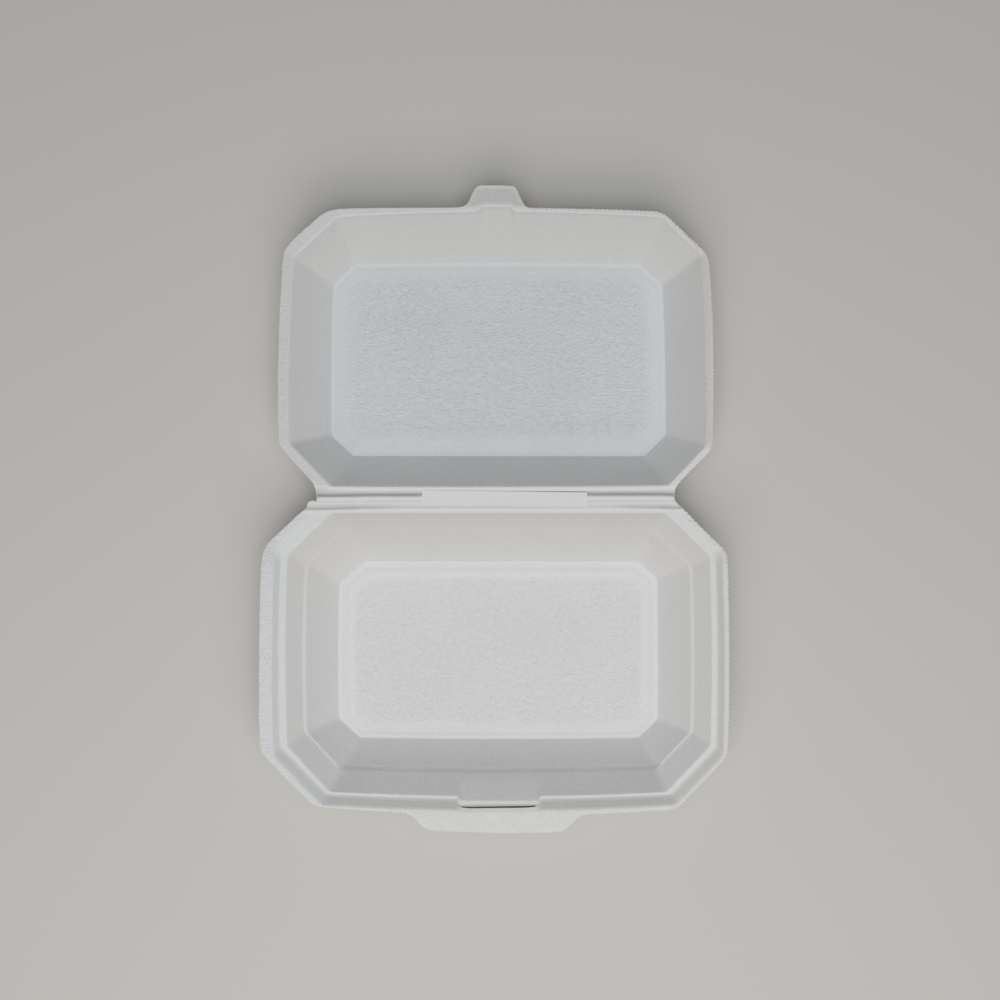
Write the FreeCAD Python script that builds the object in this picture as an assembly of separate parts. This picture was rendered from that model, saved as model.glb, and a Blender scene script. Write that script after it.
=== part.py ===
import FreeCAD, Part
import math
import os

from FreeCAD import Vector

# Hinged foam food container, lying open. One thermoformed sheet makes the tray, the lid and the
# hinge between them. Millimetres. X runs along the hinge, +Y from the tray towards the open lid,
# +Z up. The origin is the centre of the tray's underside. "D" is a distance from the hinge crease
# towards the front of the tray, "E" a distance from the crease towards the far edge of the lid.

# ---- sheet and heights
SHEET = 2.5            # foam thickness
MATE_Z = 38.5          # height of the plane where lid and tray meet: shelf, hinge and back flange
LIP = 3.5              # how far the raised rim stands above that plane
LEDGE_Z = 27.0         # stacking ledge in the tray's wall
LID_DEPTH = 34.5       # outside depth of the lid below its flange
AXIS_UP = 0.15         # the fold's axis is this far above the meeting plane
HINGE_Y = 75.8         # the crease, from the middle of the tray's floor

# ---- tray, inside, as (left x, right x, front D, back D)
TRAY_TOP = (-106.3, 106.3, 146.9, 6.6)        # edge between shelf and wall
TRAY_LEDGE_OUT = (-98.3, 98.3, 136.2, 14.8)
TRAY_LEDGE_IN = (-97.2, 97.2, 135.1, 15.9)
TRAY_FLOOR = (-82.4, 82.4, 121.2, 30.7)       # where the wall would meet the floor
# ---- tray, shelf, slope and trimmed edge
SLOPE_FOOT = (-109.9, 109.9, 150.4, -20.0)
SLOPE_TOP = (-112.8, 112.9, 153.7, -20.0)
# ---- lid, inside, as (left x, right x, E near the hinge, E at the far side)
LID_X = -0.3                                  # the lid's moulding sits this far to the left
LID_TOP = (-105.3, 105.3, 6.4, 147.6)
LID_FLOOR = (-87.1, 87.1, 25.8, 127.6)
# ---- corner cuts of each loop, (x, y), front or far corners and back or near corners
CUT_TOP_F, CUT_TOP_B = (21.5, 22.0), (20.6, 20.4)
CUT_LEDGE_F, CUT_LEDGE_B = (17.6, 18.2), (18.2, 17.0)
CUT_FLOOR = (10.0, 9.3)
CUT_FOOT_F = (22.6, 23.0)
CUT_SLOPE_F = (23.8, 24.2)
CUT_LID_TOP_F, CUT_LID_TOP_B = (20.4, 19.4), (20.8, 22.0)
CUT_LID_FLOOR = (11.2, 10.6)
# ---- how far the middle of a side stands out from its ends
BOW_SIDE, BOW_FRONT = 0.9, 2.4
BOW_FLOOR = 0.4
# ---- front of the tray
TAB_D = 164.5          # end of the finger tab
TAB_ROOT = (-45.0, 44.0)
TAB_END = (-34.5, 33.0)
SLOT_X = (-17.9, 18.8)
SLOT_D = (151.1, 152.4)
RAMP = (24.0, 33.0)    # D where the raised rim starts and where it is at full height
# ---- tongue on the lid
TONGUE_ROOT = (-17.5, 15.6)
TONGUE_END = (-10.2, 9.2)
TONGUE_E = (149.0, 161.6)
TONGUE_DROP = 4.6
POCKET_X = (-10.0, 8.5)
POCKET_OUT = 3.2       # how far the wall behind the tongue stands out at the top
POCKET_DOWN = 15.0
# ---- slip of paper across the hinge
SLIP_X = (-39.1, 45.0)
SLIP_D = (3.9, -5.1)
SLIP_T = 0.15

os.makedirs("parts", exist_ok=True)
AXIS_Z = MATE_Z + AXIS_UP
MATE_BOTTOM = MATE_Z - SHEET


def dy(d):
    """Y of a distance in front of the crease."""
    return HINGE_Y - d


def arc(a, b, z, out):
    """Edge from a to b whose middle stands out by the vector out."""
    m = ((a[0] + b[0]) / 2 + out[0], (a[1] + b[1]) / 2 + out[1])
    return Part.Arc(Vector(a[0], a[1], z), Vector(m[0], m[1], z), Vector(b[0], b[1], z)).toShape()


def line(a, b, z):
    return Part.LineSegment(Vector(a[0], a[1], z), Vector(b[0], b[1], z)).toShape()


def loop(z, xl, xr, yn, yf, cut_n, cut_f, bow_s, bow_n, bow_f):
    """Octagon with bowed sides at height z. yn is the low-Y side, yf the high-Y side."""
    a = (xl + bow_s, yn + bow_n + cut_n[1])
    b = (xl + bow_s + cut_n[0], yn + bow_n)
    c = (xr - bow_s - cut_n[0], yn + bow_n)
    d = (xr - bow_s, yn + bow_n + cut_n[1])
    e = (xr - bow_s, yf - bow_f - cut_f[1])
    f = (xr - bow_s - cut_f[0], yf - bow_f)
    g = (xl + bow_s + cut_f[0], yf - bow_f)
    h = (xl + bow_s, yf - bow_f - cut_f[1])
    edges = [
        line(a, b, z), arc(b, c, z, (0, -bow_n)), line(c, d, z), arc(d, e, z, (bow_s, 0)),
        line(e, f, z), arc(f, g, z, (0, bow_f)), line(g, h, z), arc(h, a, z, (-bow_s, 0)),
    ]
    return Part.Wire(edges)


def grown(cut, t):
    """Corner cut of a loop that is offset outwards by t."""
    return (cut[0] + 0.586 * t, cut[1] + 0.586 * t)


def tray_loop(z, dims, cut_f, cut_b, bow_s, bow_f, bow_b=0.15, t=0.0):
    xl, xr, front, back = dims
    return loop(z, xl - t, xr + t, dy(front + t), dy(back - t), grown(cut_f, t), grown(cut_b, t), bow_s, bow_f, bow_b)


def lid_loop(z, dims, cut_f, cut_b, bow_s, bow_f, bow_b=0.15, t=0.0):
    xl, xr, near, far = dims
    return loop(
        z, xl + LID_X - t, xr + LID_X + t, HINGE_Y + near - t, HINGE_Y + far + t,
        grown(cut_b, t), grown(cut_f, t), bow_s, bow_b, bow_f,
    )


def loft(*wires):
    return Part.makeLoft(list(wires), True, True)


def prism_x(profile, x0, x1):
    """Prism along X of a closed (y, z) profile."""
    pts = [Vector(x0, y, z) for y, z in profile]
    return Part.Face(Part.makePolygon(pts + pts[:1])).extrude(Vector(x1 - x0, 0, 0))


def plate(outline, z0, z1):
    """Plate of an outline of points and ("arc", out_x, out_y) marks between them."""
    edges, last, bow = [], None, None
    items = list(outline) + [outline[0]]
    for item in items:
        if item[0] == "arc":
            bow = item[1:]
            continue
        if last is not None:
            edges.append(arc(last, item, z0, bow) if bow else line(last, item, z0))
        last, bow = item, None
    return Part.Face(Part.Wire(edges)).extrude(Vector(0, 0, z1 - z0))


def lerp(a, b, s):
    return tuple(p + (q - p) * s for p, q in zip(a, b))


# ------------------------------------------------------------------ tray
wall_t = SHEET * math.hypot(1, (97.2 - 82.4) / (LEDGE_Z - SHEET))   # the sheet, measured level
below = LEDGE_Z - 2.2                                              # the ledge on the outside
upper_out = lerp(TRAY_TOP, TRAY_LEDGE_OUT, (MATE_Z - below) / (MATE_Z - LEDGE_Z))
lower_out = lerp(TRAY_LEDGE_IN, TRAY_FLOOR, (LEDGE_Z - below) / (LEDGE_Z - SHEET))
foot_out = lerp(TRAY_LEDGE_IN, TRAY_FLOOR, LEDGE_Z / (LEDGE_Z - SHEET))

outer_low = loft(
    tray_loop(0, foot_out, CUT_FLOOR, CUT_FLOOR, BOW_FLOOR, BOW_FLOOR, t=wall_t),
    tray_loop(below, lower_out, CUT_LEDGE_F, CUT_LEDGE_B, BOW_SIDE, BOW_FLOOR, t=wall_t),
)
outer_high = loft(
    tray_loop(below, upper_out, CUT_LEDGE_F, CUT_LEDGE_B, BOW_SIDE, BOW_FLOOR, t=wall_t),
    tray_loop(MATE_Z, TRAY_TOP, CUT_TOP_F, CUT_TOP_B, BOW_SIDE, BOW_FRONT, t=wall_t),
)
inner_low = loft(
    tray_loop(SHEET, TRAY_FLOOR, CUT_FLOOR, CUT_FLOOR, BOW_FLOOR, BOW_FLOOR),
    tray_loop(LEDGE_Z, TRAY_LEDGE_IN, CUT_LEDGE_F, CUT_LEDGE_B, BOW_SIDE, BOW_FLOOR),
)
inner_high = loft(
    tray_loop(LEDGE_Z, TRAY_LEDGE_OUT, CUT_LEDGE_F, CUT_LEDGE_B, BOW_SIDE, BOW_FLOOR),
    tray_loop(MATE_Z, TRAY_TOP, CUT_TOP_F, CUT_TOP_B, BOW_SIDE, BOW_FRONT),
)


def round_bottom(solid, z, r):
    """Round the loop of edges at height z."""
    edges = [e for e in solid.Edges if abs(e.BoundBox.ZMin - z) < 1e-3 and abs(e.BoundBox.ZMax - z) < 1e-3]
    return solid.makeFillet(r, edges)


outer_low = round_bottom(outer_low, 0, 4.0)
inner_low = round_bottom(inner_low, SHEET, 3.0)

tray_trim = [
    (-95.0, dy(0)), (-96.6, dy(3.3)), (-115.6, dy(21.4)), (-117.4, dy(26.4)), ("arc", -1.3, 0),
    (-117.6, dy(122.6)), (-116.0, dy(126.6)), (-93.4, dy(149.6)), (-88.0, dy(152.0)), ("arc", -0.3, -0.4),
    (-45.6, dy(154.8)), (-41.5, dy(157.2)), (-36.8, dy(162.2)), (TAB_END[0], dy(163.6)), ("arc", 0, -0.9),
    (TAB_END[1], dy(163.8)), (34.9, dy(161.9)), (40.2, dy(156.8)), (44.4, dy(155.5)), ("arc", 0.3, -0.4),
    (86.6, dy(153.0)), (91.8, dy(149.8)), (113.0, dy(127.8)), (114.0, dy(122.6)), ("arc", 1.2, 0),
    (114.1, dy(26.4)), (111.0, dy(21.4)), (92.6, dy(3.2)), (89.4, dy(0)),
]
slab = plate(tray_trim, MATE_BOTTOM, MATE_Z + LIP)
pocket = loft(
    tray_loop(MATE_Z, SLOPE_FOOT, CUT_FOOT_F, (5, 5), BOW_SIDE, BOW_FRONT),
    tray_loop(MATE_Z + LIP, SLOPE_TOP, CUT_SLOPE_F, (5, 5), BOW_SIDE, BOW_FRONT),
)
run = RAMP[1] - RAMP[0]
ramp = prism_x(
    [(dy(-20), MATE_Z), (dy(RAMP[0]), MATE_Z), (dy(RAMP[1]), MATE_Z + LIP), (dy(RAMP[1]), 80), (dy(-20), 80)], -160, 160
)
# the underside of the raised rim follows its top, one sheet thickness below
tilt = math.atan2(LIP, run)
shift = SHEET * (math.sin(tilt) - (1 - math.cos(tilt)) / math.tan(tilt))
under = prism_x(
    [
        (dy(RAMP[0] + shift - 0.1 / math.tan(tilt)), MATE_BOTTOM - 0.1), (dy(RAMP[1] + shift), MATE_BOTTOM + LIP),
        (dy(200), MATE_BOTTOM + LIP), (dy(200), MATE_BOTTOM - 0.1),
    ],
    -160, 160,
)
slope_t = SHEET * math.hypot(1, (SLOPE_TOP[1] - SLOPE_FOOT[1]) / LIP)
rate = (SLOPE_TOP[1] - SLOPE_FOOT[1]) / LIP
core_low, core_high = slope_t - rate * (SHEET + 0.2), slope_t + rate * (LIP - SHEET + 0.1)
core = loft(
    tray_loop(MATE_BOTTOM - 0.2, SLOPE_FOOT, CUT_FOOT_F, (5, 5), BOW_SIDE, BOW_FRONT, t=core_low),
    tray_loop(MATE_BOTTOM + LIP + 0.1, SLOPE_FOOT, CUT_FOOT_F, (5, 5), BOW_SIDE, BOW_FRONT, t=core_high),
)
slab = slab.cut(pocket).cut(ramp).cut(under.cut(core))
slot = Part.makeBox(SLOT_X[1] - SLOT_X[0], SLOT_D[1] - SLOT_D[0], 20, Vector(SLOT_X[0], dy(SLOT_D[1]), 30))


def groove(side, at, half, deep):
    """V-shaped groove along X with a flat bottom. side is -1 on the tray and +1 on the lid."""
    y = HINGE_Y + side * at
    return prism_x(
        [(y - half, MATE_Z + 0.5), (y - half, MATE_Z), (y - half * 0.35, MATE_Z - deep), (y + half * 0.35, MATE_Z - deep), (y + half, MATE_Z), (y + half, MATE_Z + 0.5)],
        -160, 160,
    )


def crease(side):
    """What the pressed crease takes off the end of each half of the hinge."""
    s = side
    top = prism_x([(HINGE_Y - s * 0.5, MATE_Z + 0.5), (HINGE_Y - s * 0.5, MATE_Z - 0.6), (HINGE_Y, MATE_Z - 0.6), (HINGE_Y + s * 0.9, MATE_Z), (HINGE_Y + s * 0.9, MATE_Z + 0.5)], -160, 160)
    low = prism_x([(HINGE_Y - s * 0.5, MATE_BOTTOM - 0.5), (HINGE_Y - s * 0.5, MATE_Z - 1.4), (HINGE_Y, MATE_Z - 1.4), (HINGE_Y + s * 1.8, MATE_BOTTOM), (HINGE_Y + s * 1.8, MATE_BOTTOM - 0.5)], -160, 160)
    return top.fuse(low)


tray = outer_low.fuse(outer_high).fuse(slab).cut(inner_low.fuse(inner_high)).cut(slot)
tray = tray.cut(groove(-1, 2.5, 1.0, 1.0)).cut(crease(-1)).removeSplitter()

# ------------------------------------------------------------------ lid, made level, then laid down
floor_z = MATE_Z - LID_DEPTH + SHEET
lid_rate = (LID_TOP[1] - LID_FLOOR[1]) / (MATE_Z - floor_z)
lid_t = SHEET * math.hypot(1, lid_rate)
lid_foot = lerp(LID_TOP, LID_FLOOR, LID_DEPTH / (MATE_Z - floor_z))
lid_outer = loft(
    lid_loop(MATE_Z - LID_DEPTH, lid_foot, CUT_LID_FLOOR, CUT_LID_FLOOR, BOW_FLOOR, BOW_FLOOR, t=lid_t),
    lid_loop(MATE_Z, LID_TOP, CUT_LID_TOP_F, CUT_LID_TOP_B, BOW_SIDE, 1.8, t=lid_t),
)
lid_inner = loft(
    lid_loop(floor_z, LID_FLOOR, CUT_LID_FLOOR, CUT_LID_FLOOR, BOW_FLOOR, BOW_FLOOR),
    lid_loop(MATE_Z, LID_TOP, CUT_LID_TOP_F, CUT_LID_TOP_B, BOW_SIDE, 1.8),
)
lid_outer = round_bottom(lid_outer, MATE_Z - LID_DEPTH, 4.0)
lid_inner = round_bottom(lid_inner, floor_z, 3.0)


def ey(e):
    """Y of a distance beyond the crease."""
    return HINGE_Y + e


lid_trim = [
    (89.0, ey(0)), (88.6, ey(5.6)), (90.4, ey(8.6)), (105.0, ey(23.6)), (107.6, ey(27.4)), (108.0, ey(31.0)), ("arc", 1.0, 0),
    (106.6, ey(121.6)), (104.6, ey(127.2)), (86.0, ey(145.4)), (81.2, ey(147.3)), ("arc", 0.3, 0.5),
    (TONGUE_ROOT[1] + 3, ey(149.1)), (TONGUE_ROOT[0] - 3, ey(149.1)), ("arc", -0.3, 0.3),
    (-82.6, ey(147.9)), (-88.6, ey(146.2)), (-106.4, ey(128.8)), (-108.6, ey(121.6)), ("arc", -1.0, 0),
    (-109.2, ey(31.0)), (-107.6, ey(26.6)), (-94.6, ey(11.8)), (-91.6, ey(8.4)), (-90.8, ey(4.0)), (-90.6, ey(0)),
]
lid_flange = plate(lid_trim, MATE_BOTTOM, MATE_Z)

# pocket in the far wall and the tongue beyond it
wall_top = LID_TOP[3]
top_e = wall_top + POCKET_OUT
down_e = wall_top - lid_rate * POCKET_DOWN
pocket_in = prism_x([(ey(down_e), MATE_Z - POCKET_DOWN), (ey(wall_top - 6), MATE_Z + 1), (ey(top_e + POCKET_OUT / POCKET_DOWN), MATE_Z + 1)], *POCKET_X)
pocket_out = prism_x(
    [
        (ey(down_e + lid_t * 0.2), MATE_Z - POCKET_DOWN - 1.5), (ey(wall_top), MATE_Z),
        (ey(top_e + 2.2), MATE_Z), (ey(top_e + 2.2), MATE_Z - 1.0), (ey(down_e + lid_t), MATE_Z - POCKET_DOWN),
    ],
    POCKET_X[0] - 2.2, POCKET_X[1] + 2.2,
)
tongue_profile = [
    (ey(TONGUE_E[0] - 1.6), MATE_Z), (ey(TONGUE_E[0] + 1.9), MATE_Z - 0.2), (ey(TONGUE_E[1]), MATE_Z - TONGUE_DROP),
    (ey(TONGUE_E[1] - 0.9), MATE_Z - TONGUE_DROP - 2.4), (ey(TONGUE_E[0] - 1.6), MATE_BOTTOM - 0.4),
]
tongue_plan = [
    (TONGUE_ROOT[0] - 3, ey(146.5)), (TONGUE_ROOT[0] - 3, ey(149.1)), (TONGUE_ROOT[0], ey(149.9)), (-14.4, ey(153.4)), (-12.0, ey(159.4)), (TONGUE_END[0], ey(161.4)),
    ("arc", 0, 0.2), (TONGUE_END[1], ey(161.4)), (10.6, ey(159.6)), (13.6, ey(151.6)), (TONGUE_ROOT[1], ey(149.6)), (TONGUE_ROOT[1] + 3, ey(149.1)), (TONGUE_ROOT[1] + 3, ey(146.5)),
]
tongue = prism_x(tongue_profile, -60, 60).common(plate(tongue_plan, 0, 80))
lid = lid_outer.fuse(lid_flange).fuse(pocket_out).fuse(tongue).cut(lid_inner).cut(pocket_in)
lid = lid.cut(groove(1, 3.5, 1.15, 1.2)).cut(crease(1)).removeSplitter()

# open, the lid leans down from the hinge until the far edge of its panel rests on the table
rest_e = lid_foot[3] + lid_t - 4.0 * math.tan((math.pi / 2 - math.atan(lid_rate)) / 2)
reach, depth = rest_e, LID_DEPTH + AXIS_UP
LEAN = math.degrees(math.asin(AXIS_Z / math.hypot(reach, depth)) - math.atan2(depth, reach))
lid.rotate(Vector(0, HINGE_Y, AXIS_Z), Vector(1, 0, 0), -LEAN)
# leaning, the lid's half of the crease would press into the tray's: it ends at the crease
lid = lid.cut(Part.makeBox(400, 20, 60, Vector(-200, HINGE_Y - 20, 0)))

# ------------------------------------------------------------------ slip of paper
slip = Part.makeBox(SLIP_X[1] - SLIP_X[0], SLIP_D[0] - SLIP_D[1], SLIP_T, Vector(SLIP_X[0], dy(SLIP_D[0]), MATE_Z + 0.01))

for name, shape in (("tray", tray), ("lid", lid), ("paper_slip", slip)):
    if len(shape.Solids) == 1:
        shape = shape.Solids[0]
    shape.exportStep("parts/%s.step" % name)
    b = shape.BoundBox
    print(
        "%s valid=%s solids=%d volume=%.0f x %.1f..%.1f y %.1f..%.1f z %.2f..%.2f"
        % (name, shape.isValid(), len(shape.Solids), shape.Volume, b.XMin, b.XMax, b.YMin, b.YMax, b.ZMin, b.ZMax)
    )
print("lean %.3f deg, closed at %.2f deg" % (LEAN, 180 + LEAN))
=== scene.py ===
import math

import bpy
import numpy as np
from mathutils import Matrix, Vector, noise
from mathutils.geometry import delaunay_2d_cdt


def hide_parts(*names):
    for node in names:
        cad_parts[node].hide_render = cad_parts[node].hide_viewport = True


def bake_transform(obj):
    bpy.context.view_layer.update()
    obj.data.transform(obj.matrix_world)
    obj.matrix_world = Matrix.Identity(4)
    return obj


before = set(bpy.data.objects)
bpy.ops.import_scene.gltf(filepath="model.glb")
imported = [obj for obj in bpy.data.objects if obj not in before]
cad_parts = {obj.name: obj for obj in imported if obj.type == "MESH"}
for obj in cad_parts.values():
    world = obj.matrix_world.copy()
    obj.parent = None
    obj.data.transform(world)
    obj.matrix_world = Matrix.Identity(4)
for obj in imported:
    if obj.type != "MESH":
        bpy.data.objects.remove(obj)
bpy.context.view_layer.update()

# Hinged foam container, lying open, in three pieces: the foam tray and the foam lid, which are one
# moulded sheet that folds at the crease, and a blank slip of paper across the hinge.
# Lengths in this file are millimetres until to_metres(). Both halves are laid out flat first, as
# (x, D, z): D is the distance from the crease, z the height of the open tray's own frame.

HINGE_Y = 75.8
MATE = 38.5
SHEET = 2.5
LIP = 3.5
LID_DEPTH = 34.5
AXIS_UP = 0.15
LEAN = math.radians(1.819)
CREASE_X = (-90.9, 88.9)
SLOT_X = (-17.9, 18.8)
LX = -0.31                        # the lid's moulding sits this far to the left


# ------------------------------------------------------------------ small helpers
def smooth(a, b, x):
    t = np.clip((np.asarray(x, float) - a) / (b - a), 0, 1)
    return t * t * (3 - 2 * t)


def lerp(a, b, t):
    return a + (b - a) * t


def wave(p, scale, seed=0.0):
    """Smooth noise from -1 to 1 at points p, with features about scale millimetres across."""
    q = np.asarray(p, float) / scale
    return np.array([noise.noise(Vector((a, b, c + seed))) for a, b, c in q])


def knots(x, pairs):
    """A curve through the (position, height) pairs, level at each of them."""
    xs = np.array([p for p, _ in pairs], float)
    hs = np.array([h for _, h in pairs], float)
    x = np.clip(x, xs[0], xs[-1])
    i = np.clip(np.searchsorted(xs, x, side="right") - 1, 0, len(xs) - 2)
    t = (x - xs[i]) / (xs[i + 1] - xs[i])
    return hs[i] + (hs[i + 1] - hs[i]) * t * t * (3 - 2 * t)


def shifted(v, d):
    """An octagon with each side moved outwards by d, which is one number or one for each side."""
    v = np.asarray(v, float)
    n = len(v)
    t = np.roll(v, -1, 0) - v
    t /= np.linalg.norm(t, axis=1)[:, None]
    p = v + np.stack([t[:, 1], -t[:, 0]], 1) * np.broadcast_to(np.asarray(d, float), (n,))[:, None]
    out = np.empty_like(v)
    for i in range(n):
        a, ta, b, tb = p[i - 1], t[i - 1], p[i], t[i]
        s = np.linalg.solve(np.stack([ta, -tb], 1), b - a)
        out[i] = a + ta * s[0]
    return out


class Layout:
    """How many points each side and corner of a ring has, and where the columns of the front side go."""

    def __init__(self, sides, corner, stops, stop_counts):
        self.sides = list(sides)
        self.corner = corner
        self.stops = stops
        self.stop_counts = stop_counts
        self.sides[4] = sum(stop_counts)
        self.size = sum(self.sides) + 8 * corner
        self.start = [sum(self.sides[:k]) + k * corner for k in range(8)]
        u = []
        for k in range(8):
            if k == 4:
                u += list(4 + 0.9 * (80 - self.front(80, -80)[:-1]) / 160)
            else:
                u += [k + 0.9 * i / self.sides[k] for i in range(self.sides[k])]
            u += [k + 0.9 + 0.1 * i / corner for i in range(corner)]
        self.u = np.array(u)

    def spread(self, values):
        """A value for each column from one value per side, blended over the corners."""
        out = []
        for k in range(8):
            out += [values[k]] * self.sides[k]
            t = (np.arange(self.corner) + 0.5) / self.corner
            out += list(values[k] + (values[(k + 1) % 8] - values[k]) * t)
        return np.array(out, float)

    def front(self, a, b):
        """Shares along the front side, from x=a to x=b, of its columns."""
        xs = [a, *self.stops, b]
        x = np.concatenate([np.linspace(xs[i], xs[i + 1], n, endpoint=False) for i, n in enumerate(self.stop_counts)] + [[b]])
        return x


def ring(lay, v, bows, radius):
    """The points of a closed line round an octagon with bowed sides and rounded corners."""
    v = np.asarray(v, float)
    ends, lines = [], []
    for k in range(8):
        a, b = v[k], v[(k + 1) % 8]
        size = np.linalg.norm(b - a)
        t = (b - a) / size
        out = np.array([t[1], -t[0]])
        cut = radius * 0.4142
        s0, s1 = cut / size, 1 - cut / size
        bow = bows.get(k, 0.0)
        if k == 4:
            xa, xb = a[0] + (b[0] - a[0]) * s0, a[0] + (b[0] - a[0]) * s1
            s = (lay.front(xa, xb) - a[0]) / (b[0] - a[0])
        else:
            s = np.linspace(s0, s1, lay.sides[k] + 1)
        p = a + np.outer(s, b - a) + np.outer(bow * 4 * s * (1 - s), out)
        lines.append(p)
        slope = 4 * bow / size
        ends.append((t + out * slope * (1 - 2 * s0), t + out * slope * (1 - 2 * s1)))
    pts = []
    for k in range(8):
        p, q = lines[k], lines[(k + 1) % 8]
        pts.append(p[:-1])
        a, b, ta, tb = p[-1], q[0], ends[k][1], ends[(k + 1) % 8][0]
        s = np.linalg.solve(np.stack([ta, -tb], 1), b - a)
        c = a + ta * s[0]
        w = (np.arange(lay.corner) / lay.corner)[:, None]
        pts.append(a * (1 - w) ** 2 + c * 2 * w * (1 - w) + b * w * w)
    return np.concatenate(pts)


def outline(lay, pts, marks, spread, sigma):
    """The die-cut edge as a ring, with its outward direction: the crease, then the measured line from
    its right end round to its left end. marks are the points of that line at the octagon's corners."""
    pts = np.asarray(pts, float)
    seg = np.linalg.norm(np.diff(pts, axis=0), axis=1)
    at = np.concatenate([[0], np.cumsum(seg)])
    fine = np.arange(0, at[-1], 0.2)
    dense = np.stack([np.interp(fine, at, pts[:, k]) for k in (0, 1)], 1)
    reach = int(4 * sigma / 0.2)
    kernel = np.exp(-0.5 * (np.arange(-reach, reach + 1) * 0.2 / sigma) ** 2)
    kernel /= kernel.sum()
    first, last = pts[0], pts[-1]
    padded = np.concatenate([2 * first - dense[reach:0:-1], dense, 2 * last - dense[-2:-reach - 2:-1]])
    dense = np.stack([np.convolve(padded[:, k], kernel, "valid") for k in (0, 1)], 1)[:len(fine)]
    dense[0], dense[-1] = first, last
    seg = np.linalg.norm(np.diff(dense, axis=0), axis=1)
    at = np.concatenate([[0], np.cumsum(seg)])

    def point(s):
        return np.stack([np.interp(s, at, dense[:, k]) for k in (0, 1)], 1)

    corner = [at[np.argmin(np.linalg.norm(dense - m, axis=1))] for m in marks]   # corners 2..7
    limits = [(0, spread)] + [(c - spread / 2, c + spread / 2) for c in corner] + [(at[-1] - spread, at[-1])]
    out, along = [], []
    crease = np.linspace(CREASE_X[0], CREASE_X[1], lay.sides[0] + 1)[:-1]
    out.append(np.stack([crease, np.zeros_like(crease)], 1))
    along.append(np.full(len(crease), -1.0))
    for k in range(8):
        lo, hi = limits[k]
        s = np.linspace(lo, hi, lay.corner + 1)[:-1]
        out.append(point(s))
        along.append(s)
        if k == 7:
            break
        side = k + 1
        a, b = limits[k][1], limits[k + 1][0]
        if side == 4:
            part = (at >= a) & (at <= b)
            px, ps = dense[part, 0], at[part]
            order = np.argsort(px)
            x = lay.front(point([a])[0, 0], point([b])[0, 0])[:-1]
            s = np.interp(x, px[order], ps[order])
            s[0] = a
        else:
            s = np.linspace(a, b, lay.sides[side] + 1)[:-1]
        out.append(point(s))
        along.append(s)
    # rings start with side 0, then corner 0 (after side 0), side 1, corner 1 and so on
    p = np.concatenate(out)
    s = np.concatenate(along)
    d = point(np.clip(s + 0.6, 0, at[-1])) - point(np.clip(s - 0.6, 0, at[-1]))
    d /= np.maximum(np.linalg.norm(d, axis=1), 1e-9)[:, None]
    normal = np.stack([d[:, 1], -d[:, 0]], 1)
    normal[s < 0] = (0, -1)
    return p, normal, s


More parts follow.
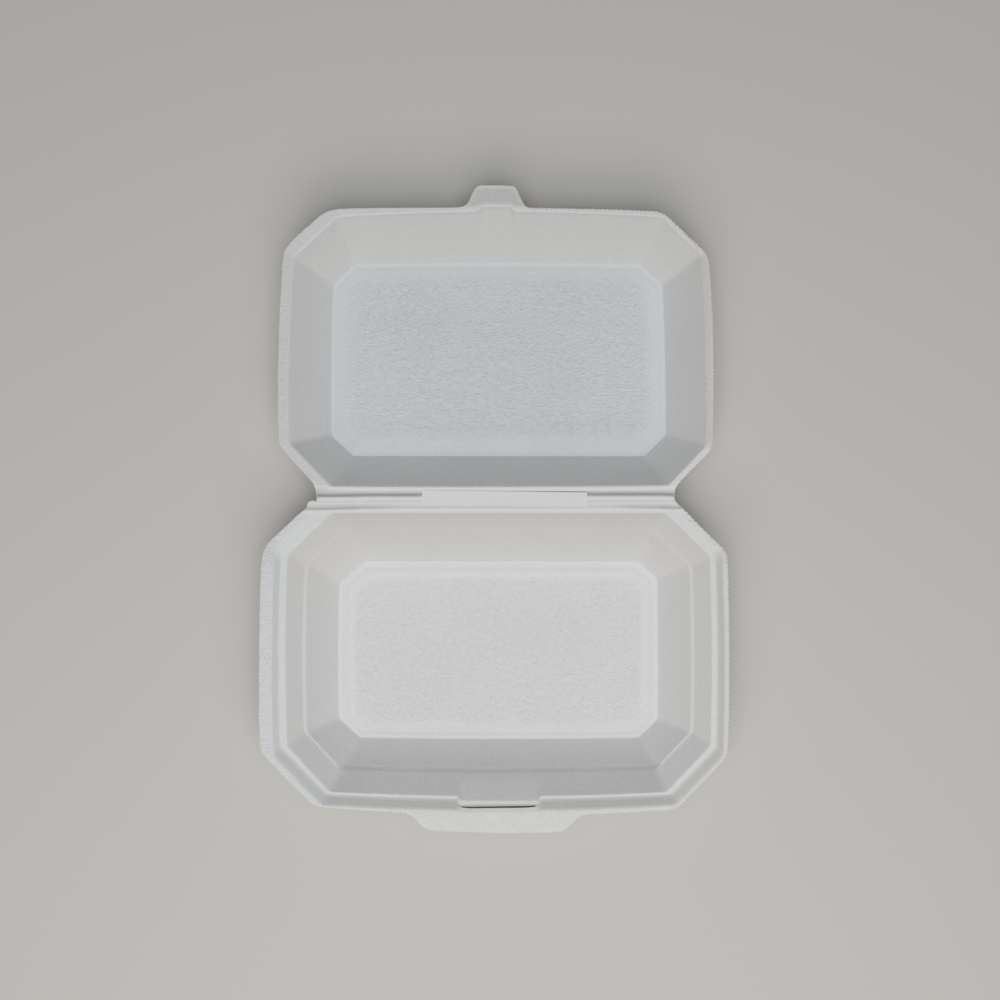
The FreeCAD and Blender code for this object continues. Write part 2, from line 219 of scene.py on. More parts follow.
class Skin:
    """Collects rings and faces of one closed surface."""

    def __init__(self):
        self.points, self.faces, self.count = [], [], 0
        # each point also carries a multiplier of its colour: painted shade and painted highlights by place, and on the
        # walls also the real greying of the stretched sheet
        self.pebble, self.cut, self.painted_light_and_grey = [], [], []
        self.sharp = []

    def add(self, xy, z, pebble, painted_light_and_grey=1.0, cut=0.0):
        n = len(xy)
        z = np.broadcast_to(np.asarray(z, float), (n,))
        self.points.append(np.column_stack([xy, z]))
        self.pebble.append(np.broadcast_to(np.asarray(pebble, float), (n,)).copy())
        self.cut.append(np.broadcast_to(np.asarray(cut, float), (n,)).copy())
        self.painted_light_and_grey.append(np.broadcast_to(np.asarray(painted_light_and_grey, float), (n,)).copy())
        first = self.count
        self.count += n
        return np.arange(first, first + n)

    def join(self, a, b, skip=()):
        n = len(a)
        for i in range(n):
            if i in skip:
                continue
            j = (i + 1) % n
            self.faces.append((a[i], a[j], b[j], b[i]))

    def zip(self, a, ua, b, ub):
        """Triangles between two closed rings with different numbers of points."""
        i = j = 0
        n, m = len(a), len(b)
        while i < n or j < m:
            na = ua[i + 1] if i + 1 < n else 8.0 + (ua[0] if i + 1 == n else 9.0)
            nb = ub[j + 1] if j + 1 < m else 8.0 + (ub[0] if j + 1 == m else 9.0)
            if j >= m or (i < n and na <= nb):
                self.faces.append((a[i % n], a[(i + 1) % n], b[j % m]))
                i += 1
            else:
                self.faces.append((a[i % n], b[(j + 1) % m], b[j % m]))
                j += 1

    def fill(self, ids, step, z, pebble, seed, painted_light_and_grey=1.0):
        """Even triangles inside a closed ring, on a jittered triangular grid. z and pebble are functions of (x, D)."""
        rim = np.concatenate(self.points)[ids]
        lo, hi = rim[:, :2].min(0), rim[:, :2].max(0)
        rng = np.random.default_rng(seed)
        rows = []
        h = step * 0.866
        for r, y in enumerate(np.arange(lo[1] + h / 2, hi[1], h)):
            x = np.arange(lo[0] + (step / 2 if r % 2 else 0), hi[0], step)
            rows.append(np.column_stack([x, np.full(len(x), y)]))
        g = np.concatenate(rows)
        g += rng.uniform(-0.12, 0.12, g.shape) * step
        edge = rim[:, :2]
        nxt = np.roll(edge, -1, 0)
        t = nxt - edge
        t /= np.linalg.norm(t, axis=1)[:, None]
        keep = np.ones(len(g), bool)
        for p, d in zip(edge[::2], t[::2]):
            keep &= (g[:, 0] - p[0]) * d[1] - (g[:, 1] - p[1]) * d[0] < -0.6 * step
        g = g[keep]
        new = self.add(g, z(g), pebble(g), painted_light_and_grey(g) if callable(painted_light_and_grey) else painted_light_and_grey)
        both = np.concatenate([edge, g])
        names = np.concatenate([ids, new])
        n = len(edge)
        co, _, tris, origin, _, _ = delaunay_2d_cdt(
            [Vector(p) for p in both], [(i, (i + 1) % n) for i in range(n)], [list(range(n))], 1, 1e-6
        )
        for f in tris:
            self.faces.append(tuple(names[origin[k][0]] for k in f))

    def object(self, name, place):
        p = np.concatenate(self.points)
        mesh = bpy.data.meshes.new(name)
        mesh.from_pydata((place(p) * 0.001).tolist(), [], [tuple(int(i) for i in f) for f in self.faces])
        for label, values in (("pebble", self.pebble), ("cut", self.cut), ("painted_light_and_grey", self.painted_light_and_grey), ("cool", [self.cool])):
            mesh.attributes.new(label, "FLOAT", "POINT").data.foreach_set("value", np.concatenate(values).astype(np.float32))
        mesh.validate()
        obj = bpy.data.objects.new(name, mesh)
        bpy.context.scene.collection.objects.link(obj)
        import bmesh
        bm = bmesh.new()
        bm.from_mesh(mesh)
        bmesh.ops.recalc_face_normals(bm, faces=bm.faces)
        if bm.calc_volume(signed=True) < 0:
            bmesh.ops.reverse_faces(bm, faces=bm.faces)
        open_edges = sum(1 for e in bm.edges if len(e.link_faces) != 2)
        bm.verts.ensure_lookup_table()
        for a, b in self.sharp:
            e = bm.edges.get((bm.verts[int(a)], bm.verts[int(b)]))
            if e:
                e.smooth = False
        tris = sum(len(f.verts) - 2 for f in bm.faces)
        print(name, "triangles", tris, "open edges", open_edges, "volume mm3 %.0f" % (bm.calc_volume() * 1e9))
        bm.to_mesh(mesh)
        bm.free()
        mesh.polygons.foreach_set("use_smooth", [True] * len(mesh.polygons))
        mesh.update()
        return obj


# ------------------------------------------------------------------ measured lines
TRAY_TOP = [(-83.2, 5.8), (84.1, 5.8), (105.9, 27.3), (105.8, 121.6), (84.0, 144.6), (-83.8, 144.6), (-104.9, 121.9), (-105.3, 27.0)]
TRAY_LEDGE = [(-78.8, 14.9), (79.3, 14.9), (97.6, 32.2), (97.7, 116.0), (80.4, 133.9), (-80.0, 133.9), (-97.1, 116.0), (-97.1, 32.2)]
LEDGE_HALF = [0.3, 0.65, 0.8, 0.6, 1.35, 0.6, 0.85, 0.45]
TRAY_FLOOR = [(-68.9, 29.75), (72.9, 29.75), (82.65, 38.6), (82.65, 111.3), (72.7, 120.8), (-71.3, 120.8), (-82.3, 110.9), (-82.3, 41.3)]
TRAY_FOOT = [(-86.2, 5.1), (86.6, 5.1), (108.4, 25.6), (108.5, 123.0), (86.1, 145.9), (-85.0, 145.9), (-108.3, 122.4), (-108.4, 25.8)]
TRAY_RISE = [(-89.2, 2.4), (88.2, 2.4), (112.2, 24.6), (112.3, 126.5), (88.4, 151.0), (-87.9, 151.0), (-111.8, 126.6), (-111.8, 24.8)]
TRAY_TRIM = [
    (88.9, 0.0), (89.8, 0.9), (92.7, 3.6), (95.4, 6.3), (101.0, 12.2), (107.3, 18.4), (110.8, 21.6), (113.4, 24.4), (114.4, 27.4), (114.7, 36.4),
    (115.1, 60.2), (115.1, 84.0), (114.8, 107.8), (114.3, 122.6), (113.8, 125.6), (112.3, 128.6), (109.7, 131.5), (98.0, 143.3), (92.1, 149.2),
    (91.0, 150.5), (88.2, 152.5), (85.2, 153.2), (76.3, 153.8), (67.4, 154.3), (58.5, 154.8), (49.6, 155.2), (43.6, 155.5), (40.7, 156.6),
    (38.6, 158.1), (34.7, 161.9), (31.7, 163.8), (25.8, 164.4), (8.0, 164.6), (-3.9, 164.5), (-24.7, 163.8), (-33.6, 163.4), (-36.6, 162.2),
    (-39.5, 159.4), (-42.5, 156.4), (-45.5, 154.9), (-57.4, 153.9), (-75.2, 152.9), (-87.1, 151.9), (-90.1, 151.4), (-92.6, 150.2), (-94.4, 148.7),
    (-99.6, 143.4), (-105.5, 137.5), (-114.2, 128.6), (-116.8, 125.7), (-118.0, 122.7), (-118.4, 116.8), (-118.8, 107.9), (-118.9, 90.1),
    (-118.8, 60.4), (-118.6, 45.5), (-118.2, 36.5), (-117.8, 27.5), (-117.2, 24.5), (-115.6, 21.5), (-112.6, 18.5), (-109.4, 15.5), (-106.3, 12.5),
    (-103.1, 9.5), (-100.0, 6.6), (-96.9, 4.2), (-95.9, 3.2), (-95.7, 1.6), (-95.1, 0.4), (-93.9, -0.3), (-92.5, -0.3), (-91.5, 0.0), (-90.9, 0.0),
]
TRAY_MARKS = [(113.9, 25.4), (113.6, 127.0), (90.4, 151.0), (-91.6, 150.8), (-117.6, 124.5), (-117.0, 23.8)]

LID_TOP = [(-84.0, 7.5), (85.6, 8.1), (104.3, 27.8), (102.9, 125.1), (83.1, 144.6), (-81.3, 144.5), (-103.2, 123.9), (-105.0, 29.2)]
LID_FLOOR = [(-75.2, 26.0), (76.1, 26.0), (87.1, 37.2), (85.9, 116.0), (74.3, 126.6), (-75.3, 126.6), (-86.2, 115.7), (-86.6, 36.6)]
LID_TRIM = [
    (88.9, 0.0), (88.5, 1.2), (88.3, 2.8), (88.6, 5.7), (90.3, 8.7), (92.9, 11.7), (98.9, 17.8), (105.2, 24.0), (107.2, 26.9), (107.9, 29.9), (108.2, 42.0),
    (108.7, 66.4), (108.4, 90.8), (107.4, 112.3), (106.8, 121.5), (106.0, 124.6), (104.0, 127.6), (100.7, 130.7), (94.3, 136.9), (88.0, 143.0), (84.9, 145.8),
    (83.0, 146.8), (80.0, 147.5), (74.9, 147.9), (65.8, 148.3), (47.5, 148.8), (23.0, 149.2), (17.4, 149.3), (15.0, 149.5), (13.6, 150.4), (12.6, 152.2),
    (10.9, 156.3), (9.4, 160.1), (8.5, 161.4), (7.2, 161.75), (4.0, 161.9), (-0.3, 162.1), (-5.0, 162.15), (-8.6, 162.05), (-10.6, 161.6), (-12.1, 160.2),
    (-13.4, 157.2), (-15.0, 153.2), (-16.4, 150.9), (-18.2, 149.8), (-22.4, 149.5), (-46.8, 149.3), (-71.1, 149.1), (-81.3, 148.8), (-86.0, 147.8), (-89.4, 146.0), (-93.1, 142.9),
    (-100.1, 136.7), (-105.6, 131.1), (-107.7, 128.2), (-108.9, 124.6), (-109.3, 121.3), (-109.7, 112.1), (-110.5, 90.6), (-111.0, 66.2), (-110.8, 41.9),
    (-110.1, 29.9), (-108.8, 26.7), (-106.1, 23.7), (-100.5, 17.6), (-95.1, 11.8), (-92.6, 8.8), (-91.4, 5.6), (-91.0, 2.6), (-90.9, 0.0),
]
TONGUE_EDGE = np.array([(13.6, 150.4), (12.6, 152.2), (11.8, 154.2), (10.9, 156.3), (10.1, 158.2), (9.4, 160.1), (8.5, 161.4), (7.2, 161.75), (5.5, 161.8), (4.0, 161.9), (1.8, 162.0), (-0.3, 162.1),
                        (-2.6, 162.1), (-5.0, 162.15), (-6.9, 162.1), (-8.6, 162.05), (-10.6, 161.6), (-12.1, 160.2), (-12.7, 158.7), (-13.4, 157.2), (-14.2, 155.2), (-15.0, 153.2), (-16.4, 150.9)])
LID_MARKS = [(107.5, 27.6), (105.6, 125.6), (84.0, 146.3), (-87.4, 147.2), (-108.6, 125.6), (-109.6, 28.3)]

# points per side: hinge, right back diagonal, right, right front diagonal, front (from the stops), left front diagonal, left, left back diagonal
FINE_TRAY = Layout((104, 72, 232, 80, 0, 66, 124, 80), 6, (46, 33, 18.8, -17.9, -34, -46), (106, 30, 38, 96, 42, 24, 96))
FINE_LID = Layout((104, 56, 204, 64, 0, 40, 84, 52), 6, (24, 8.2, -9.7, -25), (104, 44, 50, 46, 84))
COARSE = Layout((92, 17, 56, 18, 0, 18, 56, 17), 4, (24, 0, -24), (30, 22, 22, 30))
LOW = Layout((72, 9, 44, 9, 0, 9, 44, 9), 4, (24, 0, -24), (26, 10, 10, 26))


# ------------------------------------------------------------------ hinge
HINGE_X = [-95, -89, -81, -74, -67, -57, -47, 49, 58, 68, 78, 83, 87, 95]
RIDGE_1 = [-5.5, -5.46, -5.1, -4.7, -4.45, -4.3, -4.2, -3.95, -3.9, -4.0, -4.1, -4.4, -4.55, -4.6]
GROOVE_1 = [-3.6, -3.55, -3.25, -3.15, -2.87, -2.8, -2.65, -2.4, -2.25, -2.45, -2.55, -2.7, -2.9, -2.9]
DEPTH_1 = [1.25, 1.25, 1.2, 1.1, 0.95, 0.8, 0.6, 0.5, 0.6, 0.85, 0.95, 1.1, 1.2, 1.2]
RIDGE_2 = [-1.4, -1.35, -1.35, -1.3, -1.3, -1.25, -1.2, -1.0, -0.9, -1.0, -1.1, -1.15, -1.2, -1.2]
CREASE = [-0.2, -0.2, -0.2, -0.19, -0.12, -0.06, 0.0, 0.12, 0.15, 0.15, 0.12, 0.1, 0.05, 0.0]
RIDGE_3 = [0.95, 0.95, 1.05, 1.1, 1.15, 1.15, 1.2, 1.46, 1.5, 1.58, 1.62, 1.62, 1.2, 1.1]
GROOVE_2 = [3.0, 3.05, 3.1, 3.3, 3.4, 3.45, 3.45, 3.85, 3.9, 3.9, 3.9, 3.85, 3.6, 3.5]
RIDGE_4 = [7.2, 7.15, 6.5, 6.15, 6.1, 6.1, 6.1, 6.2, 6.3, 6.4, 6.7, 6.85, 7.1, 7.2]


def hinge(x, d, side):
    """Height of the pressed hinge above the meeting plane, and its painted light: painted shade in the grooves and on
    flanks turned from the light, painted highlights on the ridges. side is 1 on the tray and -1 on the lid. The two
    halves share one profile across the crease, so they meet there."""
    e = -d * side
    r1, g1, dep, r2, c, r3, g2, r4 = (np.interp(x, HINGE_X, v) for v in (RIDGE_1, GROOVE_1, DEPTH_1, RIDGE_2, CREASE, RIDGE_3, GROOVE_2, RIDGE_4))
    zero = np.zeros_like(x)
    p = np.column_stack([x, zero, zero])
    rough = 1 + 0.16 * wave(p, 6.0, 3.0) + 0.14 * wave(p, 1.9, 9.0)
    rough_2 = 1 + 0.10 * wave(p, 7.0, 33.0) + 0.06 * wave(p, 2.3, 39.0)
    spots = [
        (r1 - 1.2, zero - 0.14, 1.0), (r1 - 0.5, zero - 0.05, 1.16), (r1 + 0.35, zero - 0.02, 1.18), (g1 - 1.15, -0.08 * dep * rough, 1.05), (g1 - 0.7, -0.3 * dep * rough, 0.68),
        (g1 - 0.2, -0.8 * dep * rough, 0.6), (g1 + 0.5, -dep * rough, 0.58), (g1 + 0.95, -0.85 * dep * rough, 0.6), (r2 - 0.3, -0.3 * dep * rough, 0.82), (r2 + 0.3, zero, 1.1), (c - 0.1, zero - 0.24 * rough, 0.92),
        (c + 0.25, zero - 0.42 * rough, 0.94), (r3 - 0.2, zero - 0.12, 1.14), (r3 + 0.45, zero, 1.2), (g2 - 1.2, zero - 0.3 * rough_2, 0.86), (g2 - 0.75, zero - 0.65 * rough_2, 0.44),
        (g2, zero - 1.25 * rough_2, 0.4), (g2 + 0.7, zero - 1.62 * rough_2, 0.42), (g2 + 1.3, zero - 1.3 * rough_2, 0.62), (r4 - 1.15, zero - 0.75, 0.84), (r4 - 0.6, zero - 0.35, 1.06),
        (r4 - 0.15, zero - 0.1, 1.2), (r4 + 0.65, zero, 1.2), (r4 + 1.6, zero - 0.02, 1.0),
    ]
    at = np.stack([q for q, _, _ in spots], 1)
    high = np.stack([h for _, h, _ in spots], 1)
    shade = np.array([w for _, _, w in spots])
    out = np.where(e <= at[:, 0], high[:, 0], high[:, -1])
    painted_light_and_grey = np.ones_like(x)
    for k in range(len(spots) - 1):
        t = np.clip((e - at[:, k]) / np.maximum(at[:, k + 1] - at[:, k], 1e-6), 0, 1)
        inside = (e > at[:, k]) & (e <= at[:, k + 1])
        painted_light_and_grey = np.where(inside, shade[k] + (shade[k + 1] - shade[k]) * t, painted_light_and_grey)
        t = lerp(t, t * t * (3 - 2 * t), 0.5)
        out = np.where(inside, high[:, k] + (high[:, k + 1] - high[:, k]) * t, out)
    middle = (dep - 0.5) / 0.7
    painted_light_and_grey = np.where((e > g1 - 1.1) & (e < g1 + 1.3), lerp(np.maximum(painted_light_and_grey, 0.93), painted_light_and_grey, np.clip(middle * 1.3, 0, 1)), painted_light_and_grey)
    fine = wave(np.column_stack([x, e * 1.4, zero]), 2.4, 17.0) * 0.04 * (np.abs(e) < 6.5) * smooth(0.0, 0.6, np.abs(e))
    return out + fine - 0.02, painted_light_and_grey


def hinge_low(d):
    return 1.1 * (1 - smooth(0.0, 1.9, np.abs(d)))


# ------------------------------------------------------------------ the tray
def teeth(s, x, y, amount, seed):
    """The edge left by the serrated cutting rule: how far it stands out at distance s along the cut."""
    p = np.column_stack([s, np.full_like(s, seed), np.zeros_like(s)])
    phase = s / 2.27 + 0.3 * wave(p, 9.0)
    tri = 2 * np.abs(phase - np.floor(phase + 0.5)) * 2 - 1
    shape = np.sign(tri) * np.abs(tri) ** 0.8
    return amount * (0.33 * shape * (0.8 + 0.4 * wave(p, 5.0, 4.0)) + 0.17 * wave(p, 1.1, 8.0)) + 0.08 * wave(p, 12.0, 1.0)


def build_half(is_tray):
    skin = Skin()
    fine = FINE_TRAY if is_tray else FINE_LID
    if is_tray:
        top, floor, trim, marks = TRAY_TOP, TRAY_FLOOR, TRAY_TRIM, TRAY_MARKS
        foot, rise = TRAY_FOOT, TRAY_RISE
        bow_top, bow_floor = {2: 0.9, 4: 2.2, 6: 1.0}, {2: 0.3, 4: 0.6, 6: 0.5}
        bow_foot, bow_rise = {2: 1.0, 4: 2.3, 6: 1.1}, {2: 0.9, 4: 2.9, 6: 0.9}
        floor_z = SHEET
    else:
        top, floor, trim, marks = LID_TOP, LID_FLOOR, LID_TRIM, LID_MARKS
        bow_top, bow_floor = {0: 0.45, 2: 1.1, 4: 2.8, 6: 1.2}, {2: 0.4, 4: 0.8, 6: 0.5}
        floor_z = MATE - LID_DEPTH + SHEET
    trim_xy, trim_out, trim_s = outline(fine, trim, marks, 4.0, 0.7 if is_tray else 0.45)
    crease = np.arange(fine.size) < fine.sides[0] + 1
    top_r, floor_r, ledge_r = 3.6, 4.0, 4.6
    top_fine = ring(fine, top, bow_top, top_r)
    # ---- how far the wall stands out behind the slot or the tongue
    def pocket(x):
        if is_tray:
            return smooth(-21.0, -18.0, x) * (1 - smooth(18.8, 21.8, x))
        return smooth(-11.6, -7.0, x) * (1 - smooth(5.6, 9.0, x))

    def landing(x):
        """Where the flat behind the slot replaces the slope."""
        return smooth(-19.4, -17.2, x) * (1 - smooth(18.4, 20.6, x)) if is_tray else pocket(x)

    def bulge(xy, depth):
        front = xy[:, 1] > 100
        if is_tray:
            return front * 2.2 * pocket(xy[:, 0]) * np.clip(1 - depth / 9.0, 0, 1) ** 1.2
        return front * 2.7 * pocket(xy[:, 0]) * np.clip(1 - depth / 15.0, 0, 1) ** 0.8

    top_fine[:, 1] += bulge(top_fine, 0.0)
    foot_fine, rise_fine = lerp(top_fine, trim_xy, 0.34), lerp(top_fine, trim_xy, 0.66)
    if is_tray:
        behind = np.clip((trim_xy[:, 1] - 15.0) / 10.0, 0, 1)[:, None]
        foot_there, rise_there = ring(fine, foot, bow_foot, 3.8), ring(fine, rise, bow_rise, 5.0)
        near_slot = (foot_there[:, 1] > 100) * landing(foot_there[:, 0])
        foot_there[:, 1] = lerp(foot_there[:, 1], 149.9, near_slot)
        rise_there[:, 1] = lerp(rise_there[:, 1], 154.5, near_slot)
        foot_fine, rise_fine = lerp(foot_fine, foot_there, behind), lerp(rise_fine, rise_there, behind)

    def slot_line(x):
        """Where the slot's cut runs, and half its width: a thin lens, a little askew."""
        t = np.clip((x - SLOT_X[0]) / (SLOT_X[1] - SLOT_X[0]), 0, 1)
        ends = np.minimum(t, 1 - t) * (SLOT_X[1] - SLOT_X[0])
        return 151.95 - 0.5 * t, 0.2 + 0.6 * np.clip(ends / 4.0, 0, 1) ** 0.6

    # ---- heights of the flange
    # painted light on the flange: painted shade on the slope under the rim, a painted brightness for each side, and
    # painted highlights on the crests of the wall tops
    slope_shade = fine.spread([0.0, 0.2, 0.4, 0.38, 0.47, 0.38, 0.24, 0.12])
    if is_tray:
        flange_painted_light = fine.spread([1.08, 1.16, 1.05, 1.06, 1.0, 1.03, 1.02, 1.1])
        crest_painted_highlight = fine.spread([0.0, 0.02, 0.04, 0.06, 0.06, 0.04, 0.02, 0.02])
    else:
        flange_painted_light = fine.spread([1.04, 1.1, 0.765, 0.96, 0.98, 0.94, 0.82, 0.84])
        crest_painted_highlight = fine.spread([0.0, 0.08, 0.0, 0.14, 0.14, 0.14, 0.0, 0.04])

    def ramp(d):
        return smooth(18.5, 34.0, d)

    def top_z(xy, u):
        x, d = xy[:, 0], xy[:, 1]
        side = 1 if is_tray else -1
        z = np.full(len(xy), MATE)
        near = d < 9.5
        h, shade = np.zeros(len(xy)), np.ones(len(xy))
        h[near], shade[near] = hinge(x[near], d[near], side)
        z = z + h
        if is_tray:
            s = np.interp(u, [0.0, 0.4, 0.82, 1.0, 1.14, 1.86, 2.0, 2.12, 3.0], [0.0, 0.012, -0.012, 0.02, 0.14, 0.86, 0.975, 1.0, 0.99])
            slot = (d > 100) * smooth(SLOT_X[0] - 3.2, SLOT_X[0], x) * (1 - smooth(SLOT_X[1], SLOT_X[1] + 3.2, x))
            s_slot = np.interp(u, [0.0, 1.0, 1.143, 1.286, 1.429, 1.571, 1.714, 1.857, 2.0, 2.12, 3.0], [0.0, 0.06, 0.02, -0.16, 0.4, 0.6, 0.80, 0.93, 0.985, 1.0, 0.99])
            z = z + LIP * ramp(d) * lerp(s, s_slot, slot)
            # painted shade on the slope under the rim, most of all at the front and the right
            dark = np.interp(u, [0.0, 0.82, 1.0, 1.25, 1.8, 2.0, 2.2, 3.0], [0.0, 0.0, 0.35, 1.0, 1.0, 0.15, 0.0, 0.0]) * ramp(d) * (1 - 0.8 * slot)
            shade = shade * (1 - dark * slope_shade)
            # painted highlight on the rim beyond the slope
            shade = shade * (1 + fine.spread([0.05, 0.05, 0.05, 0.06, 0.11, 0.06, 0.04, 0.05]) * ramp(d) * np.interp(u, [1.9, 2.1, 3.0], [0.0, 1.0, 1.0]))
        else:
            z = z + tongue(x, d)
            rim = np.min(np.linalg.norm(xy[:, None, :] - TONGUE_EDGE[None], axis=2), axis=1)
            # painted shade over the middle of the lid's tongue, lighter towards its cut edge
            shade = shade * (1 - 0.13 * (d > 150.5) * smooth(0.8, 3.4, rim))
            # painted light on the lid's right rims: darker next to the wall, lighter out towards the cut edge
            shade = shade * (1 + fine.spread([0, 0.06, 0.05, 0, 0, 0, 0, 0]) * float(np.interp(u, [0.4, 2.3], [-1, 1])))
        # each side's painted brightness, and a painted highlight along the crest of the wall top
        shade = shade * flange_painted_light * (1 + crest_painted_highlight * float(np.interp(u, [0.0, 0.3, 0.5], [1.0, 1.0, 0.0])))
        return z, np.minimum(shade, 1.22)

    def tongue(x, d):
        side = 1 - smooth(14.5, 17.5, np.abs(x + 1.0))
        start = lerp(149.6, 150.9, pocket(x))
        slope = -0.42 * np.clip(d - start, 0, 160.3 - start) - 0.16 * np.maximum(d - 160.3, 0)
        return slope * side * (d > 140)

    def low_z(xy, u):
        x, d = xy[:, 0], xy[:, 1]
        z = np.full(len(xy), MATE - SHEET) + hinge_low(d)
        if is_tray:
            z = z + LIP * ramp(d - 1.0) * knots(np.full(len(xy), u), [(0, 0), (1.05, 0), (1.95, 1.0), (3.0, 1.0)])
        else:
            z = z + tongue(x, d)
        return z

    # ---- floor, from the middle outwards

    def floor_height(xy):
        p = np.column_stack([xy, np.zeros(len(xy))])
        return floor_z + crown + 0.10 * wave(p, 34.0, 2.0 if is_tray else 7.0) + 0.05 * wave(p, 3.4, 1.0) + 0.085 * wave(p, 1.75, 5.0)

    def middle_painted_light(xy):
        return floor_painted_light * (1 + 0.05 * (1 - smooth(36.0, 66.0, xy[:, 1]))) if is_tray else floor_painted_light * np.ones(len(xy))

    def floor_pebble(xy):
        return np.ones(len(xy))

    # painted light on the floor: the tray's floor painted brighter than the lid's and brighter towards the hinge, with
    # painted bands of highlight and shade along the floor's rim, varying by side, and painted lines along the far edge
    if is_tray:
        crown, floor_painted_light = 0.0, 1.16
        rims = [(-9.5, 0.06, 0.9, 1.02), (-8.2, 0.14, 0.7, 1.04), (-7.0, 0.32, 0.45, 1.04), (-6.1, 0.44, 0.3, 1.0), (-5.3, 0.45, 0.2, 0.96), (-4.6, 0.3, 0.2, 0.93),
                (-4.0, 0.03, 0.2, 0.91), (-3.5, -0.2, 0.2, 0.91), (-3.0, -0.3, 0.2, 0.93), (-2.5, -0.2, 0.2, 0.96), (-2.0, 0.04, 0.2, 0.99), (-1.5, 0.15, 0.2, 1.0),
                (-1.0, 0.1, 0.2, 1.0)]
        rim_side = COARSE.spread([1.07, 1.05, 1.03, 1.0, 1.0, 0.99, 1.0, 1.03])
        far_line = COARSE.spread([0.5, 0, 0, 0, 0, 0, 0, 0])
    else:
        crown, floor_painted_light = 0.9, 0.93
        rims = [(-13.0, 0.84, 0.9, 1.0), (-10.6, 0.68, 0.8, 1.0), (-8.6, 0.48, 0.6, 1.0), (-6.8, 0.28, 0.4, 1.0), (-5.2, 0.14, 0.2, 0.99), (-4.2, 0.12, 0.2, 0.98),
                (-3.4, 0.1, 0.2, 0.99), (-2.8, 0.0, 0.2, 0.99), (-2.3, -0.14, 0.2, 0.98), (-1.9, -0.17, 0.2, 1.0), (-1.5, -0.06, 0.2, 1.0), (-1.1, 0.08, 0.2, 1.0)]
        rim_side = COARSE.spread([1.14, 1.12, 1.06, 1.0, 0.99, 0.97, 0.96, 1.04])
        far_line = COARSE.spread([0, 0, 0.3, 0.6, 1, 0.6, 0.3, 0])
    last = None
    first = None
    for shift, dz, peb, shade in rims:
        xy = ring(COARSE, shifted(floor, shift), bow_floor, max(2.6, floor_r + shift * 0.16))
        near_edge = float(np.interp(-shift, [0.0, 7.0, 13.0], [1.0, 1.0, 0.0]))
        line = float(np.interp(-shift, [0.0, 0.9, 1.5, 2.2, 3.2, 5.0], [0.08, 0.08, -0.04, -0.08, -0.06, -0.03]))
        ids = skin.add(xy, floor_z + dz, peb, floor_painted_light * shade * (1 + (rim_side - 1) * near_edge) * (1 + line * far_line))
        if last is not None:
            skin.join(last, ids)
        else:
            first = ids
        last = ids
    skin.fill(first, 0.98 if is_tray else 1.02, floor_height, floor_pebble, 11 if is_tray else 12, middle_painted_light)

    # ---- wall
    total = MATE - floor_z
    low_ring = ring(COARSE, floor, bow_floor, floor_r)
    top_coarse = ring(COARSE, top, bow_top, top_r)
    if is_tray:
        half = np.array(LEDGE_HALF)
        ledge_in, ledge_out = shifted(TRAY_LEDGE, -half), shifted(TRAY_LEDGE, half)
        bow_ledge = {2: 0.7, 4: 1.6, 6: 0.8}
        in_ring, out_ring = ring(COARSE, ledge_in, bow_ledge, ledge_r), ring(COARSE, ledge_out, bow_ledge, ledge_r)
        # the ledge is full on the two sides, faint at the back, and only a shallow rough band at the front
        straight = COARSE.spread([0.8, 0.2, 0.0, 0.15, 1.0, 0.15, 0.0, 0.5])
        front_w = COARSE.spread([0, 0, 0, 0, 1, 0, 0, 0])
        z_in = 26.96 + (COARSE.spread([24.4, 25, 27, 25, 21.6, 25, 27, 25]) - 26.96) * straight
        z_out = 27.08 + (COARSE.spread([25.4, 26, 27, 26, 25.4, 26, 27, 26]) - 27.08) * straight
        high_ring, z_high = in_ring, z_in
    else:
        high_ring, z_high = top_coarse, np.full(COARSE.size, MATE)
    # where the sheet is drawn thin it is a little greyer, and the walls also carry painted shade, side by side, darker
    # towards their tops
    if is_tray:
        tone_low = COARSE.spread([0.93, 0.91, 0.9, 0.9, 0.88, 0.88, 0.93, 0.93])
        tone_high = COARSE.spread([0.8, 0.82, 0.85, 0.82, 0.76, 0.81, 0.87, 0.86])
        tone_top = COARSE.spread([0.66, 0.76, 0.83, 0.8, 0.74, 0.8, 0.84, 0.78])
    else:
        tone_low = COARSE.spread([0.88, 0.85, 0.82, 0.86, 0.84, 0.84, 0.88, 0.85])
        tone_high = COARSE.spread([0.84, 0.82, 0.75, 0.78, 0.76, 0.75, 0.83, 0.8])
        tone_top = tone_high
    angle = math.radians(58.0)
    radius = 1.15
    reach = radius * math.tan(angle / 2)
    size = np.linalg.norm(high_ring - low_ring, axis=1)
    for k in range(5):
        a = angle * k / 4
        h = -reach + radius * math.sin(a)
        z = floor_z + radius * (1 - math.cos(a))
        if h < 0:
            xy = ring(COARSE, shifted(floor, h), bow_floor, floor_r)
        else:
            xy = low_ring + (high_ring - low_ring) * (h / size)[:, None]
            z = floor_z + (z_high - floor_z) * h / size if k == 4 else np.minimum(z, floor_z + (z_high - floor_z) * h / size + 0.25)
        ids = skin.add(xy, z, 0.15, lerp(floor_painted_light * rim_side * (1 + 0.07 * far_line), tone_low, smooth(0.3, 0.9, k / 4)))
        skin.join(last, ids)
        last = ids
    t_from = h / size
    steps = 15 if is_tray else 22
    end = 0.96 if is_tray else 0.94
    for k in range(1, steps + 1):
        t = t_from + (end - t_from) * k / steps
        xy = low_ring + (high_ring - low_ring) * t[:, None]
        z = floor_z + (z_high - floor_z) * t
        if not is_tray:
            xy[:, 1] += bulge(xy, MATE - z)
        ids = skin.add(xy, z, 0.13, lerp(tone_low, tone_high, k / steps))
        skin.join(last, ids)
        last = ids
    if is_tray:
